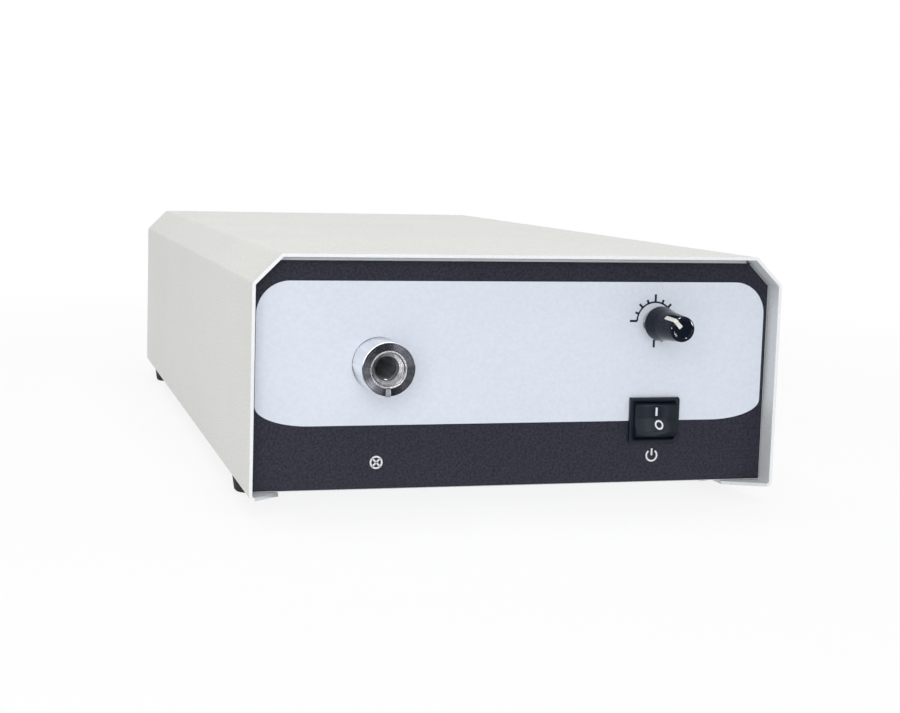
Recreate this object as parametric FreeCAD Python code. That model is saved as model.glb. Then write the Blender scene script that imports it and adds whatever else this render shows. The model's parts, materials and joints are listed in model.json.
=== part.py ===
"""Fiber optic illuminator: a halogen bench light source in a folded steel case.

The frame is millimetres, +Z up. The origin is on the table, under the middle of the
object's box. +X is to the right and +Y to the back, seen by someone at the front panel.
The light guide plugs into the steel port on the left; the dimmer knob and the power
rocker are on the right. Every function below makes one separate piece, or one group of
identical pieces, and NODES at the end lists them.
"""
import FreeCAD, Part
import math
import os

V = FreeCAD.Vector

# ---------------------------------------------------------------- driving dimensions
# Case
case_width = 250.0
case_height = 108.5
case_depth = 460.0
case_sheet = 1.5
case_chamfer = 12.9
bend_inside = 1.0
left_flange = 14.5
right_flange = 22.0
flange_mitre = 8.0
panel_recess = 9.0
rear_recess = 9.0
panel_gap = 0.5
panel_sheet = 1.5
panel_lip = 12.0
panel_bend = 0.4
panel_bolt_lift = 7.0
panel_lift = 0.3
label_sheet = 0.4
label_margin = 0.4
tray_sheet = 1.2
tray_gap = 0.4
tray_wall = 12.0
tray_end_wall = 15.0
tray_relief = 6.0

# Feet
foot_height = 8.0
foot_top_radius = 8.0
foot_bottom_radius = 7.0
foot_chamfer = 1.0
foot_screw_seat = 4.5
foot_screw_gap = 0.4
foot_inset_x = 9.5
foot_inset_front = 58.0
foot_inset_rear = 45.0

# Screws: thread radius, head radius, head height, nut across flats, nut height
M3 = {"thread": 1.45, "head": 2.8, "head_height": 2.0, "flats": 5.5, "nut": 2.4}
M4 = {"thread": 1.95, "head": 3.8, "head_height": 2.6, "flats": 7.0, "nut": 3.2}
M6 = {"thread": 2.95, "head": 5.0, "head_height": 4.0, "flats": 10.0, "nut": 5.0}
screw_clearance = 0.25
thread_gap = 0.05
thread_end = 1.0

# Earth stud
earth_head = 1.0
earth_from_inlet = 30.0
earth_reach = 12.0
tag_sheet = 0.8
tag_radius = 4.5
tag_width = 3.5
tag_length = 14.0

# Air slots in the floor
vent_length = 44.0
vent_width = 4.0
vent_pitch = 10.0
lamp_vents = 8
lamp_vent_start = 55.0
toroid_vents = 4
toroid_vent_start = 18.0
grille_slot = 4.5
grille_pitch = 7.0
grille_first = 11.0
grille_centre = 4.0
grille_bridge = 5.0

# Light port
port_x = -65.9
port_height = 58.8
port_radius = 12.2
port_proud = 18.5
port_edge = 0.5
port_step_edge = 0.2
port_step_radius = 8.1
port_step_depth = 1.0
port_sleeve_radius = 7.6
port_shank_radius = 10.0
port_shank = 16.0
port_nut_flats = 27.0
port_nut_height = 5.0
port_key_width = 2.1
port_key_depth = 0.5
guide_radius = 5.0
guide_relief = 0.2
guide_mouth_radius = 7.1
guide_mouth_start = 1.3
guide_mouth_end = 4.3
detent_depth = 6.2
detent_zone = 8.6
ball_radius = 1.5
ball_lip_radius = 1.25
ball_lip = 0.15
ball_gap = 0.02
ball_travel = 0.5
ball_hole_radius = 1.56
spring_wire = 0.35
spring_turns = 2.5
grub_radius = 2.0
grub_length = 2.6
grub_sink = 0.1
grub_key = 1.6
grub_key_depth = 1.2

# Dimmer
dimmer_x = 65.9
dimmer_height = 77.4
knob_reach = 30.5
knob_standoff = 6.5
knob_skirt_radius = 8.0
knob_skirt = 1.2
knob_grip_radius = 6.8
knob_grip_start = 8.5
knob_flare_radius = 20.0
knob_tip_radius = 5.75
knob_edge = 1.3
knob_dish = 0.5
knob_hollow = 1.6
knob_hollow_gap = 0.5
knob_rest_angle = -45.0
pointer_width = 1.9
pointer_depth = 0.6
pointer_length = 9.2
pointer_inner_radius = 1.0
inlay_gap = 0.03
shaft_radius = 3.0
shaft_gap = 0.05
shaft_tip_gap = 3.0
bushing_wall = 0.5
bushing_reach = 3.0
pot_radius = 8.2
pot_depth = 8.0
pot_nut_wall = 1.5
pot_nut_height = 2.0
pot_washer_wall = 2.3
pot_washer_sheet = 0.5
pot_wall = 1.2
wiper_length = 3.0
lug_width = 1.8
lug_sheet = 0.8
lug_length = 8.0
lug_pitch = 5.0
lug_setback = 3.4
running_gap = 0.3

# Power switch
switch_x = 67.2
switch_height = 31.4
bezel_width = 24.7
bezel_height = 21.4
bezel_proud = 2.0
switch_body_width = 22.0
switch_body_height = 19.2
switch_body_depth = 20.0
switch_wall = 0.95
rocker_gap = 0.15
rocker_pivot_depth = 2.8
rocker_end_height = 6.0
rocker_tilt = 14.0
rocker_skirt = 2.5
rocker_pin_radius = 1.4
rocker_pin_reach = 0.7
tab_width = 4.8
tab_thickness = 0.8
tab_length = 8.0
tab_root = 1.5
tab_pitch_x = 11.0
tab_pitch_z = 10.0
cutout_gap = 0.1

# Lamp
filter_distance = 36.0
lamp_distance = 26.0
bracket_width = 62.0
bracket_rise = 32.0
bracket_sheet = 1.5
lamp_rim_radius = 25.35
lamp_rim = 2.0
lamp_depth = 22.0
lamp_neck_radius = 8.0
lamp_wall = 1.5
lamp_aperture_radius = 22.5
neck_length = 10.0
bulb_radius = 5.5
bulb_length = 20.0
pinch_length = 5.0
pinch_size = (10.0, 3.2)
pinch_sink = 6.0
pin_sink = 4.0
lamp_pin_radius = 0.8
lamp_pin_spacing = 5.3
lamp_pin_length = 8.0
socket_width = 24.0
socket_height = 12.0
socket_length = 14.0
filter_radius = 19.0
filter_glass = 3.0
filter_ring_radius = 24.0
filter_opening = 16.0

# Transformer
toroid_x = 58.0
toroid_y = 60.0
toroid_radius = 48.0
toroid_hole = 17.0
toroid_height = 42.0
toroid_shoulder = 10.0
toroid_hole_shoulder = 6.0
pad_thickness = 2.0
dish_radius = 30.0
dish_sheet = 1.5
dish_rise = 2.0
dish_rim = 4.0

# Control board
board_x = 58.0
board_y = -98.0
board_width = 110.0
board_depth = 74.0
board_sheet = 1.6
board_standoff = 10.0
standoff_flats = 6.0
board_hole_inset = 5.0
sink_place = (22.0, 8.0)
sink_width = 46.0
sink_wall = 4.0
sink_height = 38.0
fin_count = 7
fin_pitch = 7.0
fin_sheet = 1.6
fin_length = 15.0
film_place = (-35.0, 18.0)
film_size = (26.0, 11.0)
film_height = 19.0
can_places = ((-38.0, -8.0), (-38.0, -24.0))
can_radius = 6.2
can_height = 20.0
can_chamfer = 0.8
block_place = (15.0, -26.0)
block_ways = 4
block_pitch = 7.5
block_depth = 12.0
block_height = 14.0
entry_size = 5.0
entry_height = 4.5
entry_depth = 9.0
choke_place = (-14.0, 6.5)
choke_radius = 12.0
choke_bore = 5.5
choke_width = 9.0

# Wires: outer radius of each kind, and the share of a run that a bend may take
mains_wire = 1.25
lamp_wire = 1.6
lead_wire = 0.9
signal_wire = 0.7
bend_share = 0.45

# Fan
fan_size = 80.0
fan_depth = 25.0
fan_duct_wall = 2.0
fan_hole_inset = 4.25
fan_corner = 5.0
fan_hub_radius = 16.5
fan_tip_gap = 1.0
fan_boss_radius = 15.0
fan_boss = 4.5
fan_arm = 4.0
fan_arm_sheet = 3.0
fan_arm_turn = 20.0
hub_edge = 1.5
fan_axle_radius = 1.5
fan_axle_gap = 0.05
fan_axle_end = 0.8
fan_end_gap = 0.6
fan_front_gap = 1.5
blade_count = 7
blade_sheet = 1.2
fan_lead_drop = 30.0
fan_lead_pitch = 3.0

# Mains inlet
inlet_x = 75.0
inlet_height = 50.0
inlet_flange_width = 50.0
inlet_flange_height = 34.0
inlet_flange = 2.5
inlet_body_width = 28.0
inlet_body_height = 32.0
inlet_body_depth = 28.0
socket_opening_width = 24.2
socket_opening_height = 16.4
socket_opening_depth = 16.0
socket_offset = 6.0
drawer_offset = -9.6
drawer_width = 16.6
drawer_height = 7.6
drawer_length = 26.0
drawer_gap = 0.15
drawer_wall = 0.9
fuse_radius = 2.5
fuse_length = 20.0
fuse_cap = 5.0

# ------------------------------------------------------------------- derived places
knob_proud = knob_reach - panel_recess
front_edge = -(case_depth - knob_proud) / 2
rear_edge = front_edge + case_depth
case_bottom = foot_height
case_top = case_bottom + case_height
inner_half = case_width / 2 - case_sheet
inner_top = case_top - case_sheet

label_front = front_edge + panel_recess
panel_front = label_front + label_sheet
panel_back = panel_front + panel_sheet
rear_outside = rear_edge - rear_recess
rear_inside = rear_outside - panel_sheet

floor_under = case_bottom + case_sheet
floor_top = floor_under + tray_sheet
panel_half = inner_half - panel_gap
panel_bottom = floor_under + panel_lift
panel_top = inner_top - panel_gap
panel_flat_top = panel_top - panel_bend - panel_sheet
chamfer_slope = case_width / 2 + case_top - case_chamfer
panel_slope = chamfer_slope - (case_sheet + panel_gap) * math.sqrt(2)
panel_bolt_height = floor_top + panel_bolt_lift
panel_bolts_x = (-95.0, 0.0, 95.0)

foot_x = case_width / 2 - foot_inset_x
foot_places = [
    (side * foot_x, y)
    for side in (-1, 1)
    for y in (front_edge + foot_inset_front, rear_edge - foot_inset_rear)
]

port_z = case_bottom + port_height
port_front = label_front - port_proud
port_end = panel_back + port_shank
dimmer_z = case_bottom + dimmer_height
bushing_radius = shaft_radius + bushing_wall
pot_nut_flats = 2 * (bushing_radius + pot_nut_wall)
pot_washer_radius = bushing_radius + pot_washer_wall
switch_z = case_bottom + switch_height
filter_y = label_front + filter_distance
lamp_y = filter_y + lamp_distance
lamp_seat = lamp_y + bracket_sheet
board_z = floor_top + board_standoff
board_top = board_z + board_sheet
earth_nut_seat = floor_top + earth_head + tag_sheet
fan_x = port_x
fan_z = (floor_under + tray_end_wall + panel_top - panel_sheet) / 2
fan_duct_radius = fan_size / 2 - fan_duct_wall
fan_hole_spacing = fan_size - 2 * fan_hole_inset
inlet_z = case_bottom + inlet_height


# --------------------------------------------------------------------- shape helpers
def to_space(plane, u, v, w):
    """A point (u, v) of a drawing in plane xz, xy or yz, at distance w along its normal."""
    places = {"xz": V(u, w, v), "xy": V(u, v, w), "yz": V(w, u, v)}
    return places[plane]


def rounded_wire(plane, points, radii, w):
    """A closed wire through the points, with each corner rounded by its own radius."""
    count = len(points)
    edges = []
    ends = []
    for i, corner in enumerate(points):
        before = points[i - 1]
        after = points[(i + 1) % count]
        radius = radii[i]
        if radius <= 0:
            ends.append((corner, corner, None))
            continue
        a = math.atan2(before[1] - corner[1], before[0] - corner[0])
        b = math.atan2(after[1] - corner[1], after[0] - corner[0])
        half = abs((b - a + math.pi) % (2 * math.pi) - math.pi) / 2
        reach = radius / math.tan(half)
        middle = math.atan2(math.sin(a) + math.sin(b), math.cos(a) + math.cos(b))
        depth = radius / math.sin(half) - radius
        start = (corner[0] + reach * math.cos(a), corner[1] + reach * math.sin(a))
        stop = (corner[0] + reach * math.cos(b), corner[1] + reach * math.sin(b))
        crown = (corner[0] + depth * math.cos(middle), corner[1] + depth * math.sin(middle))
        ends.append((start, stop, crown))
    for i, (start, stop, crown) in enumerate(ends):
        if crown:
            arc = Part.Arc(*(to_space(plane, p[0], p[1], w) for p in (start, crown, stop)))
            edges.append(arc.toShape())
        following = ends[(i + 1) % count][0]
        if math.dist(stop, following) > 1e-6:
            line = Part.LineSegment(
                to_space(plane, stop[0], stop[1], w),
                to_space(plane, following[0], following[1], w),
            )
            edges.append(line.toShape())
    return Part.Wire(edges)


def prism(plane, points, start, length, radius=0.0):
    """The outline in a plane, from distance start along its normal, length thick."""
    radii = radius if isinstance(radius, list) else [radius] * len(points)
    face = Part.Face(rounded_wire(plane, points, radii, start))
    return face.extrude(to_space(plane, 0, 0, length))


def block(plane, centre, size, start, length, radius=0.0):
    """A rectangle about its centre in a plane, made length thick."""
    u, v = centre
    half_u, half_v = size[0] / 2, size[1] / 2
    corners = [
        (u - half_u, v - half_v),
        (u + half_u, v - half_v),
        (u + half_u, v + half_v),
        (u - half_u, v + half_v),
    ]
    return prism(plane, corners, start, length, radius)


def rod(plane, centre, radius, start, length):
    """A cylinder standing on a plane."""
    base = to_space(plane, centre[0], centre[1], start)
    return Part.makeCylinder(radius, length, base, to_space(plane, 0, 0, 1))


def hexagon(plane, centre, flats, start, length):
    """A hexagonal bar, given across its flats."""
    reach = flats / math.sqrt(3)
    angles = [math.radians(60 * i) for i in range(6)]
    corners = [(centre[0] + reach * math.cos(a), centre[1] + reach * math.sin(a)) for a in angles]
    return prism(plane, corners, start, length)


def folded(plane, points, sheet, inside, start, length):
    """A folded sheet: its outer line runs through the points, the metal is on the right."""
    steps = []
    for (u0, v0), (u1, v1) in zip(points, points[1:]):
        run = math.dist((u0, v0), (u1, v1))
        steps.append(((u1 - u0) / run, (v1 - v0) / run))
    normals = [(v, -u) for u, v in steps]
    inner, outer_radii, inner_radii = [], [], []
    for i, point in enumerate(points):
        n1 = normals[max(i - 1, 0)]
        n2 = normals[min(i, len(normals) - 1)]
        share = sheet / (1 + n1[0] * n2[0] + n1[1] * n2[1])
        inner.append((point[0] + (n1[0] + n2[0]) * share, point[1] + (n1[1] + n2[1]) * share))
        if i in (0, len(points) - 1):
            outer_radii.append(0.0)
            inner_radii.append(0.0)
            continue
        turn = steps[i - 1][0] * steps[i][1] - steps[i - 1][1] * steps[i][0]
        outer_radii.append(inside + sheet if turn < 0 else inside)
        inner_radii.append(inside if turn < 0 else inside + sheet)
    return prism(plane, points + inner[::-1], start, length, outer_radii + inner_radii[::-1])


def turned(profile, base, direction, radii=0.0):
    """A turned piece: profile points are (radius, distance along the direction)."""
    radii = radii if isinstance(radii, list) else [radii] * len(profile)
    face = Part.Face(rounded_wire("xz", profile, radii, 0))
    solid = face.revolve(V(0, 0, 0), V(0, 0, 1), 360)
    solid.Placement = FreeCAD.Placement(base, FreeCAD.Rotation(V(0, 0, 1), direction))
    return solid


def tube(plane, centre, outer, inner, start, length):
    """A plain ring or sleeve."""
    return rod(plane, centre, outer, start, length).cut(rod(plane, centre, inner, start, length))


def slot(plane, centre, size, start, length):
    """A slot cutter with round ends along its longer side."""
    return block(plane, centre, size, start, length, min(size) / 2 - 1e-4)


def joined(first, *others):
    """One solid out of pieces that are one part."""
    return first.fuse(list(others)).removeSplitter()


def group(shapes):
    """Separate identical pieces kept as one named node."""
    return Part.makeCompound(shapes)


def pan_screw(size, base, direction, length):
    """A pan-head screw: base is under its head, and the shank runs along the direction."""
    head, height = size["head"], size["head_height"]
    profile = [
        (0, -height),
        (head - height / 2, -height),
        (head, -height / 2),
        (head, 0),
        (size["thread"], 0),
        (size["thread"], length),
        (0, length),
    ]
    return turned(profile, base, direction)


def nut(size, plane, centre, start):
    """A hexagon nut that stands on a plane."""
    body = hexagon(plane, centre, size["flats"], start, size["nut"])
    return body.cut(rod(plane, centre, size["thread"] + thread_gap, start, size["nut"]))


def hole(size, plane, centre, start, length):
    """A cutter for a screw's clearance hole."""
    return rod(plane, centre, size["thread"] + screw_clearance, start, length)


# ------------------------------------------------------------------------------ case
def wrap_cover():
    half = case_width / 2
    line = [
        (-half + left_flange, case_bottom),
        (-half, case_bottom),
        (-half, case_top - case_chamfer),
        (-half + case_chamfer, case_top),
        (half - case_chamfer, case_top),
        (half, case_top - case_chamfer),
        (half, case_bottom),
        (half - right_flange, case_bottom),
    ]
    cover = folded("xz", line, case_sheet, bend_inside, front_edge, case_depth)
    bend = case_sheet + bend_inside
    cuts = [hole(M4, "xy", place, case_bottom, case_sheet) for place in foot_places]
    for side, flange in ((-1, left_flange), (1, right_flange)):
        for edge, inward in ((front_edge, 1), (rear_edge, -1)):
            corners = [
                (side * (half - bend), edge),
                (side * (half - flange), edge + inward * flange_mitre),
                (side * (half - flange), edge),
            ]
            cuts.append(prism("xy", corners, case_bottom, case_sheet))
    return cover.cut(cuts)


def base_tray():
    half = inner_half - tray_gap
    front, rear = panel_back, rear_inside
    wall_top = floor_under + tray_wall
    end_top = floor_under + tray_end_wall
    sides = [(half, wall_top), (half, floor_under), (-half, floor_under), (-half, wall_top)]
    ends = [(rear, end_top), (rear, floor_under), (front, floor_under), (front, end_top)]
    length = rear - front - 2 * tray_relief
    pan = folded("xz", sides, tray_sheet, bend_inside, front + tray_relief, length)
    width = 2 * (half - tray_relief)
    lips = folded("yz", ends, tray_sheet, bend_inside, -half + tray_relief, width)
    tray = joined(pan, lips)
    cuts = [hole(M4, "xy", place, floor_under, tray_sheet) for place in foot_places]
    cuts += [hole(M3, "xy", place, floor_under, tray_sheet) for place in board_places()]
    cuts += [hole(M4, "xy", place, floor_under, tray_sheet) for place in bracket_places()]
    cuts.append(hole(M6, "xy", (toroid_x, toroid_y), floor_under, tray_sheet))
    cuts.append(hole(M4, "xy", earth_place(), floor_under, tray_sheet))
    for x in panel_bolts_x:
        cuts.append(hole(M4, "xz", (x, panel_bolt_height), front, tray_sheet))
        cuts.append(hole(M4, "xz", (x, panel_bolt_height), rear - tray_sheet, tray_sheet))
    cuts += vent_slots()
    return tray.cut(cuts)


def vent_slots():
    """Air comes in through slots in the floor, in front of the lamp and beside the toroid."""
    behind_lamp = lamp_y + lamp_vent_start
    behind_toroid = toroid_y + toroid_radius + toroid_vent_start
    rows = [(port_x, behind_lamp + vent_pitch * i) for i in range(lamp_vents)]
    rows += [(toroid_x, behind_toroid + vent_pitch * i) for i in range(toroid_vents)]
    return [slot("xy", row, (vent_length, vent_width), floor_under, tray_sheet) for row in rows]


def panel_outline(half, bottom, top, slope):
    """A panel's front view: a rectangle whose top corners follow the case's chamfers."""
    return [
        (-half, bottom),
        (half, bottom),
        (half, slope - half),
        (slope - top, top),
        (top - slope, top),
        (-half, slope - half),
    ]


def front_panel():
    outline = panel_outline(panel_half, panel_bottom, panel_flat_top, panel_slope)
    flat = prism("xz", outline, panel_front, panel_sheet)
    lip_half = panel_slope - panel_top
    line = [
        (panel_front, panel_bottom),
        (panel_front, panel_top),
        (panel_front + panel_lip, panel_top),
    ]
    lip = folded("yz", line, panel_sheet, panel_bend, -lip_half, 2 * lip_half)
    panel = joined(flat, lip)
    panel = panel.cut(front_holes(panel_front, panel_sheet))
    stud_length = tray_sheet + M4["nut"] + thread_end
    places = [(x, panel_bolt_height) for x in panel_bolts_x]
    studs = [rod("xz", place, M4["thread"], panel_back, stud_length) for place in places]
    return joined(panel, *studs)


def front_holes(start, length):
    """The holes that the front panel and its label share."""
    switch_size = (switch_body_width + 2 * cutout_gap, switch_body_height + 2 * cutout_gap)
    port_hole = port_shank_radius + screw_clearance
    pot_hole = bushing_radius + screw_clearance
    return [
        rod("xz", (port_x, port_z), port_hole, start, length),
        rod("xz", (dimmer_x, dimmer_z), pot_hole, start, length),
        block("xz", (switch_x, switch_z), switch_size, start, length),
    ]


def front_label():
    bottom = panel_bottom + label_margin
    top = panel_flat_top + label_margin
    slope = panel_slope - label_margin * math.sqrt(2)
    outline = panel_outline(panel_half - label_margin, bottom, top, slope)
    label = prism("xz", outline, label_front, label_sheet)
    return label.cut(front_holes(label_front, label_sheet))


def rear_panel():
    outline = panel_outline(panel_half, panel_bottom, panel_flat_top, panel_slope)
    flat = prism("xz", outline, rear_inside, panel_sheet)
    lip_half = panel_slope - panel_top
    line = [
        (rear_outside - panel_lip, panel_top),
        (rear_outside, panel_top),
        (rear_outside, panel_bottom),
    ]
    lip = folded("yz", line, panel_sheet, panel_bend, -lip_half, 2 * lip_half)
    panel = joined(flat, lip)
    cuts = grille_cuts()
    body = (inlet_body_width + 2 * cutout_gap, inlet_body_height + 2 * cutout_gap)
    cuts.append(block("xz", (inlet_x, inlet_z), body, rear_inside, panel_sheet))
    cuts += [hole(M3, "xz", place, rear_inside, panel_sheet) for place in inlet_screw_places()]
    cuts += [hole(M4, "xz", place, rear_inside, panel_sheet) for place in fan_screw_places()]
    for x in panel_bolts_x:
        cuts.append(hole(M4, "xz", (x, panel_bolt_height), rear_inside, panel_sheet))
    return panel.cut(cuts)


def grille_cuts():
    """Arc slots in rings, four to a ring, that let the fan blow out through the panel."""
    centre = (fan_x, fan_z)
    cuts = [rod("xz", centre, grille_centre, rear_inside, panel_sheet)]
    bars = [
        block("xz", centre, size, rear_inside, panel_sheet)
        for size in ((2 * fan_duct_radius, grille_bridge), (grille_bridge, 2 * fan_duct_radius))
    ]
    for bar in bars:
        bar.rotate(V(fan_x, 0, fan_z), V(0, 1, 0), 45)
    radius = grille_first
    while radius + grille_slot / 2 < fan_duct_radius:
        outer, inner = radius + grille_slot / 2, radius - grille_slot / 2
        ring = tube("xz", centre, outer, inner, rear_inside, panel_sheet)
        cuts += ring.cut(bars).Solids
        radius += grille_pitch
    return cuts


def feet():
    return group([foot(place) for place in foot_places])


def foot(place):
    shank = M4["thread"] + screw_clearance
    recess = M4["head"] + foot_screw_gap
    profile = [
        (recess, 0),
        (foot_bottom_radius - foot_chamfer, 0),
        (foot_bottom_radius, foot_chamfer),
        (foot_top_radius, foot_height),
        (shank, foot_height),
        (shank, foot_screw_seat),
        (recess, foot_screw_seat),
    ]
    return turned(profile, V(place[0], place[1], 0), V(0, 0, 1))


def foot_screws():
    length = floor_top + M4["nut"] + thread_end - foot_screw_seat
    bases = [V(x, y, foot_screw_seat) for x, y in foot_places]
    return group([pan_screw(M4, base, V(0, 0, 1), length) for base in bases])


def rear_panel_screws():
    length = panel_sheet + tray_sheet + M4["nut"] + thread_end
    bases = [V(x, rear_outside, panel_bolt_height) for x in panel_bolts_x]
    return group([pan_screw(M4, base, V(0, -1, 0), length) for base in bases])


def earth_place():
    return (inlet_x - earth_from_inlet, rear_inside - earth_from_inlet)


def earth_stud():
    """A stud pressed into the floor: the case's earth."""
    head = rod("xy", earth_place(), M4["head"], floor_top, earth_head)
    shank = rod("xy", earth_place(), M4["thread"], floor_under, tray_sheet + earth_reach)
    return joined(head, shank)


def earth_tag():
    x, y = earth_place()
    top = floor_top + earth_head
    ring = rod("xy", (x, y), tag_radius, top, tag_sheet)
    tail = block("xy", (x, y - tag_length / 2), (tag_width, tag_length), top, tag_sheet)
    return joined(ring, tail).cut(hole(M4, "xy", (x, y), top, tag_sheet))


# ------------------------------------------------------------------------ light port
def port_body():
    """The steel collar in front of the panel and its threaded shank behind."""
    total = port_end - port_front
    bore = port_sleeve_radius + thread_gap
    profile = [
        (port_step_radius, 0),
        (port_radius, 0),
        (port_radius, port_proud),
        (port_shank_radius, port_proud),
        (port_shank_radius, total),
        (bore, total),
        (bore, port_step_depth),
        (port_step_radius, port_step_depth),
    ]
    rounding = [port_step_edge, port_edge, 0, 0, 0, 0, 0, 0]
    body = turned(profile, V(port_x, port_front, port_z), V(0, 1, 0), rounding)
    ball_y = port_front + detent_depth
    thread_depth = grub_sink + grub_length + grub_sink
    pocket = rod("xy", (port_x, ball_y), ball_hole_radius, port_z - port_radius, port_radius)
    thread = rod(
        "xy",
        (port_x, ball_y),
        grub_radius + thread_gap,
        port_z - port_radius,
        thread_depth,
    )
    key = block(
        "xz",
        (port_x, port_z - port_radius),
        (port_key_width, 2 * (port_radius - port_step_radius)),
        port_front,
        port_key_depth,
    )
    return body.cut([pocket, thread, key])


def port_sleeve():
    """The hardened guide sleeve: a wide mouth, the detent zone and the guide bore."""
    total = port_end - port_front
    relief = guide_radius + guide_relief
    profile = [
        (guide_mouth_radius, guide_mouth_start),
        (port_sleeve_radius, guide_mouth_start),
        (port_sleeve_radius, total),
        (guide_radius, total),
        (guide_radius, detent_zone),
        (relief, detent_zone - guide_relief),
        (relief, guide_mouth_end),
    ]
    sleeve = turned(profile, V(port_x, port_front, port_z), V(0, 1, 0))
    ball_y = port_front + detent_depth
    lip_top = relief + ball_lip
    pocket = rod(
        "xy",
        (port_x, ball_y),
        ball_hole_radius,
        port_z - port_sleeve_radius - 1,
        port_sleeve_radius + 1 - lip_top,
    )
    mouth = rod("xy", (port_x, ball_y), ball_lip_radius, port_z - lip_top - 1, lip_top + 1)
    return sleeve.cut([pocket, mouth])


def port_nut():
    body = hexagon("xz", (port_x, port_z), port_nut_flats, panel_back, port_nut_height)
    bore = port_shank_radius + thread_gap
    return body.cut(rod("xz", (port_x, port_z), bore, panel_back, port_nut_height))


def ball_centre():
    """The ball rests against the lip of the sleeve, reaching into the guide bore."""
    sit = math.sqrt(ball_radius**2 - ball_lip_radius**2)
    below = guide_radius + guide_relief + ball_lip + sit + ball_gap
    return V(port_x, port_front + detent_depth, port_z - below)


def detent_ball():
    return Part.makeSphere(ball_radius, ball_centre())


def spring_top():
    return ball_centre().z - ball_radius - thread_gap


def grub_top():
    return port_z - port_radius + grub_sink + grub_length


def detent_spring():
    """A short coil between the grub screw and the ball, its wire lofted round the turns."""
    bottom = grub_top() + thread_gap + spring_wire / 2
    rise = spring_top() - spring_wire / 2 - bottom
    coil_radius = ball_hole_radius - spring_wire / 2 - 0.1
    stations, sides = 12, 8
    count = round(stations * spring_turns)
    sections = []
    for i in range(count + 1):
        around = 2 * math.pi * i / stations
        outward = V(math.cos(around), math.sin(around), 0)
        centre = V(port_x, port_front + detent_depth, bottom + rise * i / count)
        centre = centre + outward * coil_radius
        corners = []
        for j in range(sides):
            spin = 2 * math.pi * j / sides
            offset = outward * math.cos(spin) + V(0, 0, math.sin(spin))
            corners.append(centre + offset * (spring_wire / 2))
        sections.append(Part.makePolygon(corners + corners[:1]))
    return Part.makeLoft(sections, True, True)


def detent_grub_screw():
    x, y = port_x, port_front + detent_depth
    bottom = port_z - port_radius + grub_sink
    body = rod("xy", (x, y), grub_radius, bottom, grub_length)
    return body.cut(hexagon("xy", (x, y), grub_key, bottom, grub_key_depth))


# ---------------------------------------------------------------------------- dimmer
def knob_outline(inset):
    """The knob's turned outline: a flared skirt, a long tapered grip and a dished tip."""
    skirt = knob_skirt_radius - inset
    grip = knob_grip_radius - inset
    tip = knob_tip_radius - inset
    rim = tip - knob_edge
    end = knob_reach - knob_standoff - inset
    points = [(0, 0), (skirt, 0), (skirt, knob_skirt), (grip, knob_grip_start), (tip, end)]
    points += [(rim, end), (rim - knob_dish, end - knob_dish), (0, end - knob_dish)]
    return points, [0, 0.4, 0.8, knob_flare_radius, knob_edge * 0.9, 0, 0, 0]


def knob_solid(inset=0.0):
    points, radii = knob_outline(inset)
    base = V(dimmer_x, label_front - knob_standoff, dimmer_z)
    return turned(points, base, V(0, -1, 0), radii)


def pointer_slab(gap):
    """The straight slot along the top of the grip and across its end."""
    width = pointer_width + 2 * gap
    tip = label_front - knob_reach
    centre_z = dimmer_z + pointer_inner_radius - gap + knob_skirt_radius / 2
    return block(
        "xz",
        (dimmer_x, centre_z),
        (width, knob_skirt_radius),
        tip - 1,
        pointer_length + 1 + gap,
    )


def at_rest_angle(shape):
    """Turned with the knob to the place where the pointer stands at rest."""
    shape.rotate(V(dimmer_x, 0, dimmer_z), V(0, 1, 0), knob_rest_angle)
    return shape


def dimmer_knob():
    knob = knob_solid()
    groove = knob.common(pointer_slab(inlay_gap)).cut(knob_solid(pointer_depth + inlay_gap))
    knob = knob.cut(groove)
    y = label_front - knob_standoff
    socket_depth = knob_reach - knob_standoff - shaft_tip_gap
    socket = rod("xz", (dimmer_x, dimmer_z), shaft_radius + shaft_gap, y - socket_depth, socket_depth)
    hollow_radius = pot_nut_flats / math.sqrt(3) + knob_hollow_gap
    hollow = rod("xz", (dimmer_x, dimmer_z), hollow_radius, y - knob_hollow, knob_hollow)
    return at_rest_angle(knob.cut([socket, hollow]))


def knob_pointer():
    pointer = knob_solid().common(pointer_slab(0)).cut(knob_solid(pointer_depth))
    return at_rest_angle(pointer)


def pot_shaft():
    """The shaft, with the wiper disc inside the potentiometer's can."""
    tip = label_front - knob_reach + shaft_tip_gap + shaft_gap
    rear = panel_back + pot_wall
    shaft = rod("xz", (dimmer_x, dimmer_z), shaft_radius, tip, rear - tip)
    disc = rod("xz", (dimmer_x, dimmer_z), pot_radius - pot_wall - running_gap, rear, wiper_length)
    return joined(shaft, disc)


def lug_places():
    """The middles of the potentiometer's three solder lugs, at their lower ends."""
    y = panel_back + lug_setback
    bottom = dimmer_z - pot_radius - lug_length + 1.0
    return [V(dimmer_x + i * lug_pitch, y, bottom) for i in (-1, 0, 1)]


def pot_body():
    """The potentiometer: its threaded bushing, its can and three solder lugs."""
    front = label_front - bushing_reach
    centre = (dimmer_x, dimmer_z)
    bushing = rod("xz", centre, bushing_radius, front, panel_back - front)
    can = rod("xz", centre, pot_radius, panel_back, pot_depth)
    lugs = [
        block("xy", (lug.x, lug.y), (lug_width, lug_sheet), lug.z, lug_length)
        for lug in lug_places()
    ]
    body = joined(bushing, can, *lugs)
    bore = rod("xz", centre, shaft_radius + shaft_gap, front, panel_back - front + pot_wall)
    chamber = rod("xz", centre, pot_radius - pot_wall, panel_back + 1.0, wiper_length + 0.5)
    return body.cut([bore, chamber])


def pot_washer():
    start = label_front - pot_washer_sheet
    bore = bushing_radius + thread_gap
    centre = (dimmer_x, dimmer_z)
    return tube("xz", centre, pot_washer_radius, bore, start, pot_washer_sheet)


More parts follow.
